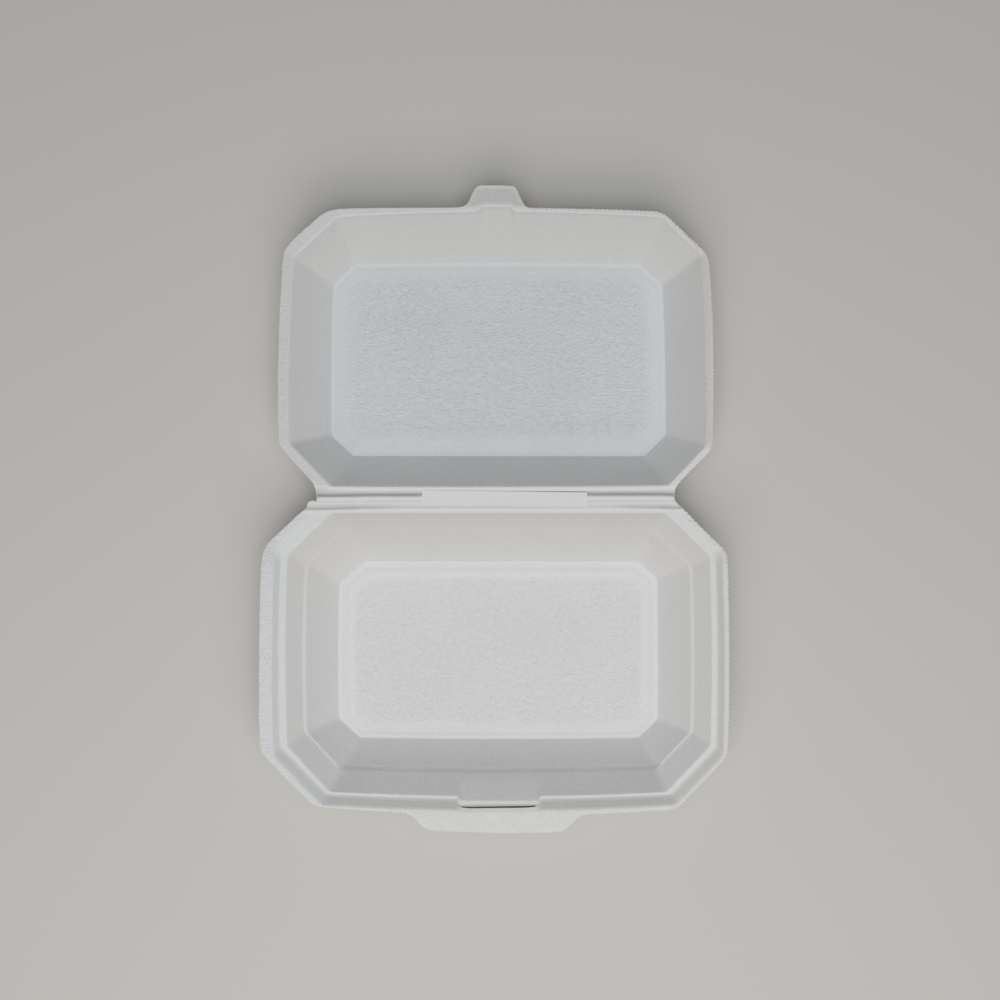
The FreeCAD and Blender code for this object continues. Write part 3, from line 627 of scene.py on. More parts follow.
        up = (MATE - z_out) / np.maximum(np.linalg.norm(top_coarse - out_ring, axis=1), 1e-6)
        press = front_w * 0.26
        for s, dz, cut in ((0.0, -0.1, 0.0), (0.13, -0.01, 1.0), (0.5, 0.0, 0.55), (0.87, 0.0, 0.16), (1.0, 0.07, 0.0)):
            xy = lerp(in_ring, out_ring, s).copy()
            z = z_in + (z_out - z_in) * s + dz * (1 - straight)
            away = xy - np.array([0.0, 76.0])
            xy[:, 1] += press * cut * 0.82
            z = z - press * cut * 0.56
            # painted shade on the pressed band at the front
            ids = skin.add(xy, z, 0.13 + 0.2 * front_w, tone_high * (1 - 0.11 * front_w * min(cut * 8, 1)))
            skin.join(last, ids)
            last = ids
        for k in range(1, 10):
            t = lerp(0.05, 0.88, (k - 1) / 8)
            xy = lerp(out_ring, top_coarse, t).copy()
            z = z_out + (MATE - z_out) * t
            xy[:, 1] += bulge(xy, MATE - z)
            ids = skin.add(xy, z, 0.13 + 0.08 * front_w, lerp(tone_high, tone_top, (k - 1) / 8))
            skin.join(last, ids)
            last = ids
        under_ring = ring(fine, ledge_out, bow_ledge, ledge_r)
        fine_straight = fine.spread([0.8, 0.2, 0.0, 0.15, 1.0, 0.15, 0.0, 0.5])
        under_z = 27.08 + (fine.spread([25.4, 26, 27, 26, 25.4, 26, 27, 26]) - 27.08) * fine_straight
        fine_tone_top = fine.spread([0.63, 0.75, 0.83, 0.8, 0.7, 0.8, 0.84, 0.77])
    else:
        fine_tone_top = fine.spread([0.775, 0.79, 0.75, 0.74, 0.67, 0.73, 0.82, 0.78])
        under_ring = ring(fine, floor, bow_floor, floor_r)
        under_z = np.full(fine.size, floor_z)

    # ---- the wall's rounded top edge, on the finer rings
    def on_wall(z):
        t = (z - under_z) / (MATE - under_z)
        xy = ring(fine, top, bow_top, top_r)
        xy = under_ring + (xy - under_ring) * t[:, None]
        xy[:, 1] += bulge(xy, MATE - z)
        return xy

    rounds = [(MATE - 1.25, 0.0, 0.0), (MATE - 0.7, 0.0, 0.0)]
    prev = last
    first_fine = True
    fine_last = None
    for z, _, _ in rounds:
        xy = on_wall(z)
        ids = skin.add(xy, z, 0.15, fine_tone_top)
        if first_fine:
            skin.zip(last, COARSE.u, ids, fine.u)
            first_fine = False
        else:
            skin.join(fine_last, ids)
        fine_last = ids
    base = on_wall(MATE)
    out_dir = foot_fine - base
    out_dir /= np.maximum(np.linalg.norm(out_dir, axis=1), 1e-9)[:, None]
    soft = fine.spread([1.3, 1.3, 1.0, 1.0, 1.0, 1.0, 1.0, 1.0] if is_tray else [1.75, 1.3, 1.0, 1.0, 1.0, 1.0, 1.2, 1.7])
    # the rounded top edge: painted shade on its wall side, blending into the flange's painted light, with a painted
    # highlight on its outer ring
    for o, dz in ((-0.05, -0.36), (0.1, -0.14), (0.34, -0.03)):
        xy = base + out_dir * (o * soft)[:, None]
        z, shade = top_z(xy, 0.0)
        ids = skin.add(xy, z + dz * soft, 0.3, lerp(shade, fine_tone_top, {-0.05: 0.75, 0.1: 0.4, 0.34: 0.1}[o]) * (1.05 if o > 0.2 else 1.0))
        skin.join(fine_last, ids)
        fine_last = ids

    # ---- flange
    texture = 0.85
    start = base + out_dir * (0.66 * soft)[:, None]
    tooth = teeth(trim_s, trim_xy[:, 0], trim_xy[:, 1], np.ones(fine.size), 1.0)
    # the rule's teeth show on the front and the right, and hardly on the left
    x, d = trim_xy[:, 0], trim_xy[:, 1]
    if is_tray:
        amount = np.where(x > 0, smooth(1.0, 4.0, d), smooth(-92, -82, x) * smooth(140, 148, d))
        amount = np.maximum(amount, 0.3 * (x < -80))
    else:
        amount = smooth(-4, 22, x) * smooth(4, 12, d)
        amount = np.maximum(amount, 0.28)
        amount = amount * (1 - 0.75 * (1 - smooth(15.0, 19.0, np.abs(x + 1))) * (d > 140))
    amount = np.where(crease, 0, amount)
    ends = np.minimum(np.arange(fine.size) - fine.sides[0], fine.size - np.arange(fine.size)) / 12.0
    amount = amount * np.clip(ends, 0, 1)
    tooth = teeth(trim_s, x, d, amount, 1.0 if is_tray else 6.0) * np.where(crease, 0, np.clip(ends, 0, 1))
    cut_xy = trim_xy + trim_out * tooth[:, None]
    n1, n2 = (3, 7) if is_tray else (3, 5)
    top_rings, us = [], []
    stations = [0, 0.4, 0.82] + [1 + k / n2 for k in range(n2)] + ([2, 2.12, 2.3, 2.52, 2.76, 3] if is_tray else [2, 2.11, 2.22, 2.33, 2.44, 2.55, 2.66, 2.77, 2.88, 3])
    for u in stations:
        if u <= 1:
            xy = lerp(start, foot_fine, u)
        elif u <= 2:
            xy = lerp(foot_fine, rise_fine, u - 1).copy()
            if is_tray:
                k = round((u - 1) * n2)
                column = (xy[:, 1] > 100) * smooth(SLOT_X[0] - 3.5, SLOT_X[0], xy[:, 0]) * (1 - smooth(SLOT_X[1], SLOT_X[1] + 3.5, xy[:, 0]))
                mid, half = slot_line(xy[:, 0])
                want = {1: 150.6, 2: mid - half, 3: mid - half / 3, 4: mid + half / 3, 5: mid + half, 6: 153.7}.get(k)
                if want is not None:
                    xy[:, 1] = lerp(xy[:, 1], want, column)
        else:
            inner = cut_xy - trim_out * np.where(crease, 0, 0.35)[:, None]
            smooth_inner = trim_xy - trim_out * np.where(crease, 0, 0.35)[:, None]
            w = u - 2
            target = lerp(smooth_inner, inner, float(smooth(0.35, 1.0, w)))
            xy = lerp(rise_fine, target, w)
        z, shade = top_z(xy, u)
        p3 = np.column_stack([xy, z])
        if is_tray:
            peb = np.where(xy[:, 1] < 6.3, 0.2, np.interp(u, [0.0, 0.9, 1.1, 1.85, 2.1, 3.0], [0.35, 0.35, 0.2, 0.2, 0.75, 0.75]))
        else:
            peb = np.where(xy[:, 1] < 7.5, 0.2, np.where(xy[:, 1] > 149.0, 0.2, 0.45))
        small = np.where(xy[:, 1] < 6.3, 0.4, np.where(xy[:, 0] < -85, 0.4, 1)) if is_tray else np.where(xy[:, 1] > 149.5, 0.15, 0.7)
        uneven = 0.055 * wave(p3, 18.0, 2.0) + 0.035 * wave(p3, 4.5, 6.0) + 0.035 * wave(p3, 2.0, 3.0) * small
        z = z + uneven * np.where(xy[:, 1] < 1.0, 0.0, 1)
        cream = 0.0
        # round the slot: painted shade along its edges, and the cream colour of the cut foam, strongest at the slot's
        # ends
        if is_tray and 1 < u < 2:
            k = round((u - 1) * n2)
            tips = 1 - 0.6 * smooth(-16.0, -9.0, xy[:, 0]) * (1 - smooth(12.0, 17.0, xy[:, 0]))
            shade = shade * (1 - column * {1: 0.0, 2: 0.12, 3: 0.15, 4: 0.15, 5: 0.25, 6: 0.2}[k])
            cream = column * {1: 0.2 * tips, 2: 0.8 * tips, 3: 0.8, 4: 0.8, 5: 0.8, 6: 0.3}[k]
        ids = skin.add(xy, z, peb, shade, cream)
        if u == 0:
            skin.join(fine_last, ids)
        top_rings.append(ids)
        us.append(u)
    slot_cols = set()
    if is_tray:
        front = fine.start[4]
        c = fine.stop_counts
        i0, i1 = front + sum(c[:3]), front + sum(c[:4])       # from x=18.8 to x=-17.9
        slot_cols = set(range(i0, i1))
    k_slot = (n1 + 2, n1 + 5)
    for k in range(len(top_rings) - 1):
        skip = slot_cols if is_tray and k_slot[0] <= k < k_slot[1] else ()
        skin.join(top_rings[k], top_rings[k + 1], skip)
    points_now = np.concatenate(skin.points)
    edge_top = points_now[top_rings[-1]]
    low_end = low_z(trim_xy, 3.0)
    thick = edge_top[:, 2] - low_end
    # ---- the cut edge
    prev = top_rings[-1]
    edge_rings = [prev]
    for o, share in ((0.12, 0.035), (0.35, 0.15), (0.38, 0.38), (0.35, 0.62), (0.35, 0.86), (0.12, 0.965)):
        xy = (cut_xy - trim_out * 0.35 * (~crease)[:, None]) + trim_out * (np.where(crease, 0, o))[:, None]
        z = edge_top[:, 2] - thick * share
        if 0.2 < share < 0.8:
            p3 = np.column_stack([xy, z])
            xy = xy + trim_out * (0.07 * wave(p3, 0.9, 5.0) * ~crease)[:, None]
        ids = skin.add(xy, z, 0.5, 1.0, 0.35)
        skin.join(prev, ids)
        prev = ids
        edge_rings.append(ids)
    for i in range(fine.sides[0]):
        skin.sharp.append((edge_rings[0][i], edge_rings[0][i + 1]))

    # ---- underside of the flange
    low_rings = []
    if is_tray:
        low_foot = ring(fine, shifted(foot, 1.0), bow_foot, 4.5)
        low_rise = ring(fine, shifted(rise, 0.8), bow_rise, 5.5)
        for arr, level in ((low_foot, 150.3), (low_rise, 154.3)):
            arr[:, 1] = lerp(arr[:, 1], level, (arr[:, 1] > 100) * landing(arr[:, 0]))
        low_foot = lerp(foot_fine, low_foot, behind)
        low_rise = lerp(rise_fine, low_rise, behind)
        low_stations = [3.0, 2.5, 2.0] + [1 + k / n2 for k in range(n2 - 1, -1, -1)]
    else:
        low_foot, low_rise = foot_fine, rise_fine
        low_stations = [3.0, 2.75, 2.45, 2.2, 2.0, 1.0]
    for u in low_stations:
        if u <= 2:
            xy = lerp(low_foot, low_rise, u - 1).copy()
            if is_tray:
                k = round((u - 1) * n2)
                column = (xy[:, 1] > 100) * smooth(SLOT_X[0] - 3.5, SLOT_X[0], xy[:, 0]) * (1 - smooth(SLOT_X[1], SLOT_X[1] + 3.5, xy[:, 0]))
                mid, half = slot_line(xy[:, 0])
                mid, half = mid - 0.45, half * 0.35
                want = {1: 150.5, 2: mid - half, 3: mid - half / 3, 4: mid + half / 3, 5: mid + half, 6: 153.4}.get(k)
                if want is not None:
                    xy[:, 1] = lerp(xy[:, 1], want, column)
        else:
            inner = cut_xy - trim_out * np.where(crease, 0, 0.35)[:, None]
            xy = lerp(low_rise, inner, u - 2)
        z = low_z(xy, u)
        if u < 2.99:
            p3 = np.column_stack([xy, z])
            z = z + (0.05 * wave(p3, 16.0, 12.0) + 0.04 * wave(p3, 3.0, 4.0)) * np.where(xy[:, 1] < 2.2, 0, 1)
        ids = skin.add(xy, z, 0.7)
        low_rings.append((u, ids))
    skin.join(prev, low_rings[0][1])
    for i in range(fine.sides[0]):
        skin.sharp.append((low_rings[0][1][i], low_rings[0][1][i + 1]))
    for k in range(len(low_rings) - 1):
        ua, ub = low_rings[k][0], low_rings[k + 1][0]
        inside_slot = is_tray and 1 + 1.9 / n2 < (ua + ub) / 2 < 1 + 5.1 / n2
        skin.join(low_rings[k][1], low_rings[k + 1][1], slot_cols if inside_slot else ())
    if is_tray:
        tops = [top_rings[n1 + k] for k in (2, 3, 4, 5)]
        lows = [next(ids for u, ids in low_rings if abs(u - (1 + k / n2)) < 1e-6) for k in (2, 3, 4, 5)]
        pts = np.concatenate(skin.points)
        loop_top = list(tops[0][i0:i1 + 1]) + [tops[1][i1], tops[2][i1]] + list(tops[3][i0:i1 + 1][::-1]) + [tops[2][i0], tops[1][i0], tops[0][i0]]
        loop_low = list(lows[0][i0:i1 + 1]) + [lows[1][i1], lows[2][i1]] + list(lows[3][i0:i1 + 1][::-1]) + [lows[2][i0], lows[1][i0], lows[0][i0]]
        n = len(loop_top) - 1
        a, b = pts[loop_top[:n]], pts[loop_low[:n]]
        rows = [np.array(loop_top[:n])]
        # the slot's own walls: painted shade, darkest deep inside the slot, and a little cream of the cut foam near the
        # top
        for s, slot_painted_shade, bare in ((0.08, 0.2, 0.15), (0.3, 0.08, 0.03), (0.75, 0.06, 0.0)):
            q = lerp(a, b, s)
            rows.append(skin.add(q[:, :2], q[:, 2], 0.3, slot_painted_shade, bare))
        rows.append(np.array(loop_low[:n]))
        for r in range(4):
            skin.join(rows[r], rows[r + 1])
        for line in (rows[0], rows[-1]):
            for i in range(n):
                skin.sharp.append((line[i], line[(i + 1) % n]))

    # ---- outside of the wall, down to the underside of the floor
    level = SHEET * math.hypot(1, (97.2 - 82.4) / 24.5) if is_tray else SHEET * math.hypot(1, 0.57)
    fine_last = low_rings[-1][1]
    if is_tray:
        out_top = shifted(top, level)
        out_ledge_hi = shifted(TRAY_LEDGE, level + 0.5 - 1.4)
        out_ledge_lo = shifted(TRAY_LEDGE, level - 0.6 - 1.3)
        out_floor = shifted(floor, level - 1.45)
        hi_c, lg_hi, lg_lo, fl_c = (ring(COARSE, v, b, r) for v, b, r in ((out_top, bow_top, 10), (out_ledge_hi, bow_ledge, 9), (out_ledge_lo, bow_ledge, 9), (out_floor, bow_floor, 8)))
        path = []
        for t in (0.0, 0.08, 0.22, 0.5, 0.8):
            z = lerp(MATE - SHEET, 24.8, t)
            s = (MATE - z) / (MATE - 24.8)
            grow = {0.0: 1.6, 0.08: 0.45}.get(t, 0.0)
            xy = lerp(hi_c, lg_hi, s)
            xy = xy.copy()
            xy[:, 1] += bulge(xy, MATE - z)
            if grow:
                c = xy.mean(0)
                dirs = xy - c
                dirs /= np.linalg.norm(dirs, axis=1)[:, None]
                wide = np.where(xy[:, 1] < 12, 0.35, 1.0)[:, None]
                xy = xy + dirs * grow * wide
            path.append((xy, z - (0.02 if t == 0 else 0)))
        path += [(lg_hi, 24.9), (lerp(lg_hi, lg_lo, 0.5), 24.62), (lg_lo, 24.3)]
        wall_h2 = 24.8
        run2 = abs(out_ledge_lo[2][0] - out_floor[2][0])
        angle2 = math.atan2(24.8, run2)
        r2 = 4.0
        reach2 = r2 * math.tan(angle2 / 2)
        for t in (0.8, 0.6, 0.4, 0.26):
            path.append((lerp(fl_c, lg_lo, t), 24.8 * t))
        arc = []
        for k in range(5, -1, -1):
            a = angle2 * k / 5
            h = -reach2 + r2 * math.sin(a)
            z = r2 * (1 - math.cos(a))
            xy = lerp(fl_c, lg_lo, h / run2) if h > 0 else ring(COARSE, shifted(out_floor, h), bow_floor, 7)
            arc.append((xy, z))
        path += arc
        base_z = 0.0
    else:
        out_top = shifted(top, level)
        out_floor = shifted(floor, level - 1.55)
        base_z = MATE - LID_DEPTH
        hi_c, fl_c = ring(COARSE, out_top, bow_top, 10), ring(COARSE, out_floor, bow_floor, 8)
        path = []
        total = LID_DEPTH
        for t in (0.075, 0.1, 0.15, 0.25, 0.4, 0.55, 0.7, 0.82):
            z = lerp(MATE, base_z, t)
            xy = lerp(hi_c, fl_c, t).copy()
            xy[:, 1] += bulge(xy, MATE - z)
            path.append((xy, z))
        run2 = abs(out_top[2][0] - out_floor[2][0])
        angle2 = math.atan2(total, run2)
        r2 = 4.0
        reach2 = r2 * math.tan(angle2 / 2)
        for k in range(5, -1, -1):
            a = angle2 * k / 5
            h = -reach2 + r2 * math.sin(a)
            z = base_z + r2 * (1 - math.cos(a))
            xy = lerp(fl_c, hi_c, h / run2) if h > 0 else ring(COARSE, shifted(out_floor, h), bow_floor, 7)
            path.append((xy, z))
    inner_floor = shifted(out_floor, -reach2)
    path += [
        (ring(COARSE, shifted(inner_floor, -1.5), bow_floor, 6.5), base_z), (ring(COARSE, shifted(inner_floor, -2.6), bow_floor, 6), base_z + 0.12),
        (ring(COARSE, shifted(inner_floor, -3.8), bow_floor, 5.5), base_z + 0.28),
    ]
    last = None
    for xy, z in path:
        ids = skin.add(xy, z, 0.2)
        if last is None:
            skin.zip(fine_last, fine.u, ids, COARSE.u)
        else:
            skin.join(last, ids)
        last = ids

    def under_height(xy):
        p = np.column_stack([xy, np.zeros(len(xy))])
        return base_z + 0.3 + 0.05 * wave(p, 30.0, 20.0) + 0.05 * wave(p, 4.0, 22.0)

    skin.fill(last, 2.4, under_height, lambda xy: np.full(len(xy), 0.5), 21 if is_tray else 22)

    # ---- slow unevenness of the whole moulding, both skins together
    out = []
    for p in skin.points:
        q = p.copy()
        away = smooth(1.5, 9.0, q[:, 1])
        soft = np.column_stack([q[:, 0], q[:, 1], np.zeros(len(q))])
        lift = 0.10 * wave(soft, 46.0, 31.0) * away * smooth(6.0, 14.0, q[:, 2])
        q[:, 2] += lift
        push = 0.13 * wave(np.column_stack([q[:, 0], q[:, 1], q[:, 2] * 0.5]), 21.0, 40.0) * away * smooth(4.0, 12.0, q[:, 2]) * (1 - smooth(33.0, 37.5, q[:, 2]))
        c = np.array([0.0, 76.0])
        d = q[:, :2] - c
        d /= np.maximum(np.linalg.norm(d, axis=1), 1e-9)[:, None]
        q[:, :2] += d * push[:, None]
        out.append(q)
    skin.points = out
    skin.cool = cast(np.concatenate(skin.points), floor_z, is_tray)
    return skin


def cast(p, floor_z, is_tray):
    """Painted colour of the light, one number a point: above 0 bluer, as under the bluish top light, on the floors, the
    tray's left walls and the left rims; below 0 warmer, as under the warm near light, on the walls that face the front
    and on the lid's right rim.
    """
    x, d, z = p[:, 0], p[:, 1], p[:, 2]
    floor = 1 - smooth(floor_z + 2.2, floor_z + 5.5, z)
    flange = smooth(MATE - 1.5, MATE - 0.3, z)
    wall = (1 - floor) * (1 - flange)
    if is_tray:
        sides = smooth(50, 70, d) * (1 - smooth(100, 118, d))
        return 0.5 * floor - 1.2 * wall * (1 - smooth(26, 50, d)) + 0.4 * wall * sides * (1 - smooth(-60, 0, x)) + 0.7 * flange * (1 - smooth(-95, -70, x))
    return 1.4 * floor - 0.5 * wall * smooth(105, 130, d) + flange * (0.3 * (1 - smooth(-95, -70, x)) - 1.2 * smooth(85, 100, x))


def place_tray(p):
    return np.column_stack([p[:, 0], HINGE_Y - p[:, 1], p[:, 2]])


def place_lid(p):
    h = p[:, 2] - MATE
    level = np.column_stack([p[:, 0], HINGE_Y + p[:, 1], p[:, 2]])
    c, s = math.cos(LEAN), math.sin(LEAN)
    leaned = np.column_stack([p[:, 0], HINGE_Y + p[:, 1] * c + (h - AXIS_UP) * s, MATE + AXIS_UP - p[:, 1] * s + (h - AXIS_UP) * c])
    w = smooth(0.0, 2.4, p[:, 1])[:, None]
    return level * (1 - w) + leaned * w


# ------------------------------------------------------------------ materials
def node(tree, kind, **inputs):
    n = tree.nodes.new(kind)
    for key, value in inputs.items():
        if key in ("operation", "blend_type", "data_type", "attribute_name", "noise_dimensions", "feature", "distance", "mode"):
            setattr(n, key, value)
        else:
            n.inputs[key.replace("_", " ")].default_value = value
    return n


def foam_material():
    m = bpy.data.materials.new("foam")
    m.use_nodes = True
    t = m.node_tree
    b = t.nodes["Principled BSDF"]
    b.inputs["Roughness"].default_value = 0.62
    b.inputs["IOR"].default_value = 1.45
    b.inputs["Specular IOR Level"].default_value = 0.35
    b.inputs["Subsurface Weight"].default_value = 0.0
    co = node(t, "ShaderNodeTexCoord").outputs["Object"]
    peb = node(t, "ShaderNodeAttribute", attribute_name="pebble").outputs["Fac"]
    cut = node(t, "ShaderNodeAttribute", attribute_name="cut").outputs["Fac"]

    def tex(scale, detail=1.0, rough=0.5):
        n = node(t, "ShaderNodeTexNoise", Scale=scale, Detail=detail, Roughness=rough)
        t.links.new(co, n.inputs["Vector"])
        return n.outputs["Fac"]

    def math_node(op, a, b2):
        n = node(t, "ShaderNodeMath", operation=op)
        for i, v in enumerate((a, b2)):
            if isinstance(v, (int, float)):
                n.inputs[i].default_value = v
            else:
                t.links.new(v, n.inputs[i])
        return n.outputs[0]

    # pebbled skin: fine grains, a coarser weave-like unevenness, and very fine cells
    grains = tex(900.0, 2.0, 0.55)
    coarse = tex(330.0, 1.0, 0.5)
    cells = node(t, "ShaderNodeTexVoronoi", Scale=1500.0)
    t.links.new(co, cells.inputs["Vector"])
    height = math_node("ADD", math_node("MULTIPLY", grains, 0.75), math_node("MULTIPLY", coarse, 0.45))
    height = math_node("ADD", height, math_node("MULTIPLY", cells.outputs["Distance"], 0.12))
    height = math_node("MULTIPLY", math_node("SUBTRACT", height, 0.65), math_node("MAXIMUM", peb, 0.1))
    bump = node(t, "ShaderNodeBump", Strength=1.0, Distance=0.0018)
    t.links.new(height, bump.inputs["Height"])
    t.links.new(bump.outputs["Normal"], b.inputs["Normal"])
    # colour: nearly white, slightly mottled where the cells show through, a little creamier at cut faces
    mottle = tex(420.0, 3.0, 0.6)
    slow = tex(26.0, 2.0, 0.5)
    ramp = node(t, "ShaderNodeValToRGB")
    ramp.color_ramp.elements[0].position = 0.3
    ramp.color_ramp.elements[0].color = (0.693, 0.696, 0.696, 1)
    ramp.color_ramp.elements[1].position = 0.7
    ramp.color_ramp.elements[1].color = (0.833, 0.836, 0.836, 1)
    patchy = math_node("ADD", math_node("MULTIPLY", mottle, 0.7), math_node("MULTIPLY", slow, 0.3))
    spread = math_node("ADD", math_node("MULTIPLY", peb, 0.8), 0.6)
    t.links.new(math_node("ADD", math_node("MULTIPLY", math_node("SUBTRACT", patchy, 0.5), spread), 0.5), ramp.inputs["Fac"])
    # painted colour of the light: each point is tinted bluer or warmer by the attribute set in cast()
    tint = node(t, "ShaderNodeVectorMath", operation="MULTIPLY_ADD")
    t.links.new(node(t, "ShaderNodeAttribute", attribute_name="cool").outputs["Fac"], tint.inputs[0])
    tint.inputs[1].default_value = (-0.035, 0.003, 0.052)
    tint.inputs[2].default_value = (1.0, 1.0, 1.0)
    cool = node(t, "ShaderNodeVectorMath", operation="MULTIPLY")
    t.links.new(ramp.outputs["Color"], cool.inputs[0])
    t.links.new(tint.outputs[0], cool.inputs[1])
    # the per-point multiplier of the colour: painted shade and painted highlights by place, with the real greying of
    # the stretched walls
    painted_light_and_grey = node(t, "ShaderNodeAttribute", attribute_name="painted_light_and_grey").outputs["Fac"]
    shade = node(t, "ShaderNodeMix", data_type="RGBA", blend_type="MULTIPLY")
    shade.inputs[0].default_value = 1.0
    t.links.new(cool.outputs[0], shade.inputs[6])
    t.links.new(painted_light_and_grey, shade.inputs[7])
    mix = node(t, "ShaderNodeMix", data_type="RGBA")
    t.links.new(math_node("MULTIPLY", cut, 0.9), mix.inputs[0])
    t.links.new(shade.outputs[2], mix.inputs[6])
    mix.inputs[7].default_value = (0.86, 0.80, 0.66, 1)
    t.links.new(mix.outputs[2], b.inputs["Base Color"])
    return m


def paper_material():
    m = bpy.data.materials.new("paper")
    m.use_nodes = True
    t = m.node_tree
    b = t.nodes["Principled BSDF"]
    b.inputs["Roughness"].default_value = 0.7
    b.inputs["Specular IOR Level"].default_value = 0.3
    co = node(t, "ShaderNodeTexCoord").outputs["Object"]
    n = node(t, "ShaderNodeTexNoise", Scale=1400.0, Detail=3.0)
    t.links.new(co, n.inputs["Vector"])
    bump = node(t, "ShaderNodeBump", Strength=0.25, Distance=0.00008)
    t.links.new(n.outputs["Fac"], bump.inputs["Height"])
    t.links.new(bump.outputs["Normal"], b.inputs["Normal"])
    fibre = node(t, "ShaderNodeTexNoise", Scale=300.0, Detail=4.0)
    t.links.new(co, fibre.inputs["Vector"])
    ramp = node(t, "ShaderNodeValToRGB")
    ramp.color_ramp.elements[0].position = 0.3
    ramp.color_ramp.elements[0].color = (0.86, 0.88, 0.925, 1)
    ramp.color_ramp.elements[1].position = 0.75
    ramp.color_ramp.elements[1].color = (0.91, 0.93, 0.97, 1)
    t.links.new(fibre.outputs["Fac"], ramp.inputs["Fac"])
    t.links.new(ramp.outputs["Color"], b.inputs["Base Color"])
    return m


def floor_material():
    """Plain and pale. Far from the object it glows a little, so the floor runs evenly into the background."""
    m = bpy.data.materials.new("table")
    m.use_nodes = True
    t = m.node_tree
    b = t.nodes["Principled BSDF"]
    b.inputs["Base Color"].default_value = (0.53, 0.505, 0.465, 1)
    b.inputs["Roughness"].default_value = 0.8
    b.inputs["Specular IOR Level"].default_value = 0.2
    b.inputs["Emission Color"].default_value = FAR_COLOUR
    apart = t.nodes.new("ShaderNodeVectorMath")
    apart.operation = "LENGTH"
    t.links.new(t.nodes.new("ShaderNodeTexCoord").outputs["Object"], apart.inputs[0])
    rise = t.nodes.new("ShaderNodeMapRange")
    rise.interpolation_type = "SMOOTHSTEP"
    for socket, value in (("From Min", 0.36), ("From Max", 1.7), ("To Min", 0.0), ("To Max", 0.5)):
        rise.inputs[socket].default_value = value
    t.links.new(apart.outputs["Value"], rise.inputs["Value"])
    t.links.new(rise.outputs[0], b.inputs["Emission Strength"])
    return m


FAR_COLOUR = (1.0, 0.975, 0.935, 1)
foam, paper = foam_material(), paper_material()

# ------------------------------------------------------------------ pieces
tray = build_half(True).object("foam_tray", place_tray)
lid = build_half(False).object("foam_lid", place_lid)
for piece, cad in ((tray, "tray"), (lid, "lid")):
    piece.data.materials.append(foam)
    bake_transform(piece)
    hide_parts(cad)


def slip_piece():
    """A blank slip of paper across the hinge: two skins 0.15 mm apart and the edge between them."""
    nx, ny = 84, 22
    x0, x1, d0, d1 = -38.05, 44.5, 2.27, -4.85
    xs = np.linspace(x0, x1, nx + 1)
    ys = np.linspace(HINGE_Y - d0, HINGE_Y - d1, ny + 1)
    gx, gy = np.meshgrid(xs, ys, indexing="ij")
    s, r = (gx - x0) / (x1 - x0), (gy - ys[0]) / (ys[-1] - ys[0])
    tilt = math.radians(-0.75)
    px = gx
    py = gy + (gx - 3.25) * math.tan(tilt)
    flat = np.stack([gx.ravel(), gy.ravel(), np.zeros(gx.size)], 1)
    pz = MATE + 0.02 + 0.035 * (wave(flat, 22.0, 3.0).reshape(gx.shape) + 1) * 0.5 + 0.05 * (2 * r - 1) ** 4
    lean = np.clip(py - HINGE_Y, 0, None) * math.sin(LEAN)
    pz = pz - lean + 0.02
    v = np.concatenate([np.stack([px, py, pz], -1).reshape(-1, 3), np.stack([px, py, pz + 0.12], -1).reshape(-1, 3)])
    n = (nx + 1) * (ny + 1)

    def at(i, j, k=0):
        return k * n + i * (ny + 1) + j

    faces = []
    for i in range(nx):
        for j in range(ny):
            faces.append((at(i, j), at(i, j + 1), at(i + 1, j + 1), at(i + 1, j)))
            faces.append((at(i, j, 1), at(i + 1, j, 1), at(i + 1, j + 1, 1), at(i, j + 1, 1)))
    for i in range(nx):
        faces.append((at(i, 0), at(i + 1, 0), at(i + 1, 0, 1), at(i, 0, 1)))
        faces.append((at(i + 1, ny), at(i, ny), at(i, ny, 1), at(i + 1, ny, 1)))
    for j in range(ny):
        faces.append((at(0, j + 1), at(0, j), at(0, j, 1), at(0, j + 1, 1)))
        faces.append((at(nx, j), at(nx, j + 1), at(nx, j + 1, 1), at(nx, j, 1)))
    mesh = bpy.data.meshes.new("paper_slip_blank")
    mesh.from_pydata((v * 0.001).tolist(), [], faces)
    mesh.validate()
    o = bpy.data.objects.new("paper_slip_blank", mesh)
    bpy.context.scene.collection.objects.link(o)
    mesh.materials.append(paper)
    return o


slip = slip_piece()
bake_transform(slip)
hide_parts("paper_slip")

# ------------------------------------------------------------------ floor, light and camera
ground = bpy.data.meshes.new("table_top")
ground.from_pydata([(-9, -9, 0), (9, -9, 0), (9, 9, 0), (-9, 9, 0)], [], [(0, 1, 2, 3)])
table = bpy.data.objects.new("table_top", ground)
bpy.context.scene.collection.objects.link(table)
ground.materials.append(floor_material())


def area(name, where, aim, size, power, colour):
    d = bpy.data.lights.new(name, "AREA")
    d.shape = "RECTANGLE"
    d.size, d.size_y = size
    d.energy = power
    d.color = colour
    o = bpy.data.objects.new(name, d)
    o.location = where
    o.rotation_mode = "QUATERNION"
    o.rotation_quaternion = (Vector(aim) - Vector(where)).to_track_quat("-Z", "Y")
    o.visible_camera = False
    bpy.context.scene.collection.objects.link(o)
    return o


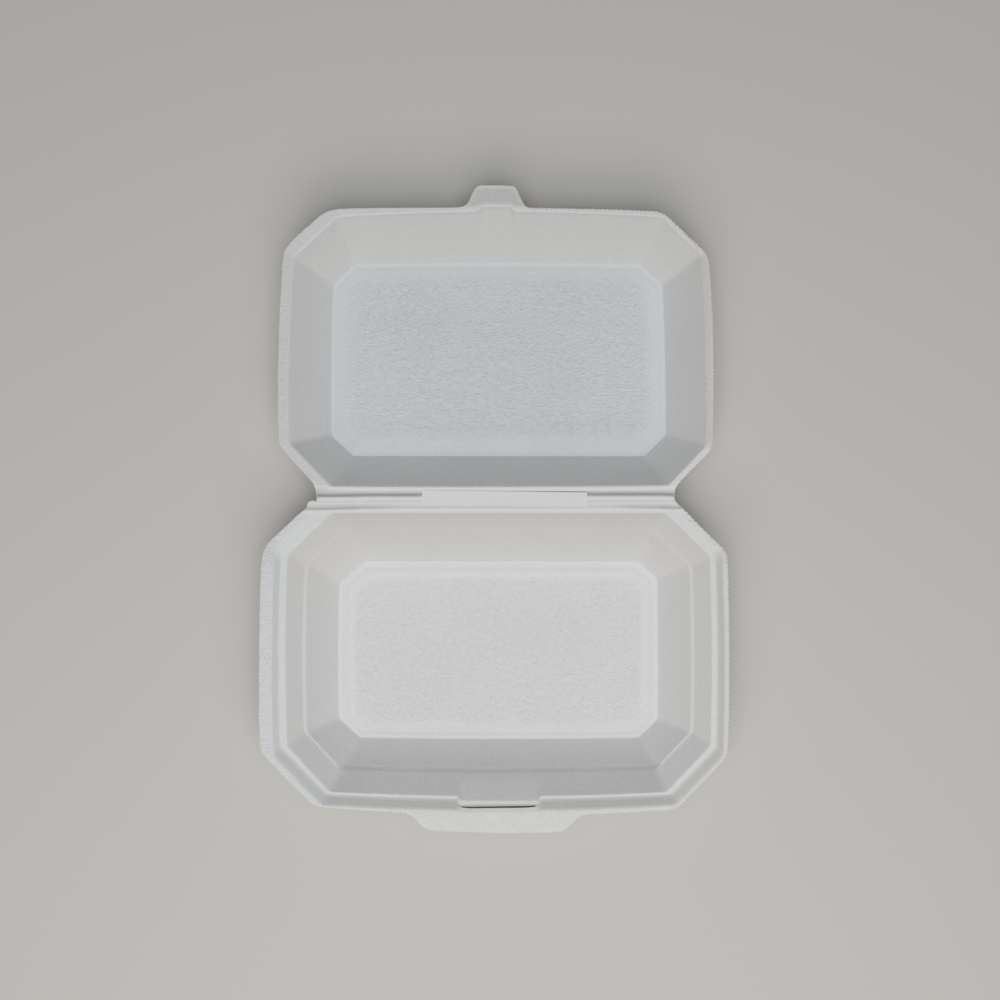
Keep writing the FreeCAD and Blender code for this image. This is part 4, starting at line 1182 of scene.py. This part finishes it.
area("near_light", (0.0, -0.35, 0.6), (0.0, 0.03, 0.0), (0.6, 0.4), 4.75, (1.0, 0.943, 0.85))
area("top_light", (0.0, -0.15, 1.6), (0.0, 0.07, 0.0), (0.9, 0.9), 20.2, (0.925, 0.975, 1.015))
world = bpy.data.worlds.new("studio")
world.use_nodes = True
world.node_tree.nodes["Background"].inputs["Color"].default_value = FAR_COLOUR
# pale near the horizon, so that low views have a light background, and nearly dark overhead
wt = world.node_tree
way = wt.nodes.new("ShaderNodeSeparateXYZ")
wt.links.new(wt.nodes.new("ShaderNodeTexCoord").outputs["Generated"], way.inputs[0])
fall = wt.nodes.new("ShaderNodeMapRange")
fall.interpolation_type = "SMOOTHSTEP"
for socket, value in (("From Min", 0.05), ("From Max", 0.42), ("To Min", 0.5), ("To Max", 0.03)):
    fall.inputs[socket].default_value = value
wt.links.new(way.outputs["Z"], fall.inputs["Value"])
wt.links.new(fall.outputs[0], wt.nodes["Background"].inputs["Strength"])
bpy.context.scene.world = world

cam = bpy.data.cameras.new("camera")
cam.sensor_width = 36.0
cam.lens = 1833.56 / 1000 * 36.0
cam.clip_start, cam.clip_end = 0.01, 20.0
camera = bpy.data.objects.new("camera", cam)
bpy.context.scene.collection.objects.link(camera)
pitch, yaw, roll = math.radians(2.62), math.radians(-0.073), math.radians(0.039)
look = np.array([[1, 0, 0], [0, -1, 0], [0, 0, -1]], float)
c, s = math.cos(pitch), math.sin(pitch)
turn_x = np.array([[1, 0, 0], [0, c, s], [0, -s, c]])
c, s = math.cos(yaw), math.sin(yaw)
turn_y = np.array([[c, 0, s], [0, 1, 0], [-s, 0, c]])
c, s = math.cos(roll), math.sin(roll)
turn_z = np.array([[c, -s, 0], [s, c, 0], [0, 0, 1]])
rows = turn_z @ turn_y @ turn_x @ look          # camera right, down and forward in the row frame
axes = np.stack([rows[0], -rows[1], -rows[2]], 1)
camera.matrix_world = Matrix.Translation((-0.000214, 0.034429, 0.955929)) @ Matrix(axes.tolist()).to_4x4()
bpy.context.scene.camera = camera

bpy.context.view_layer.update()
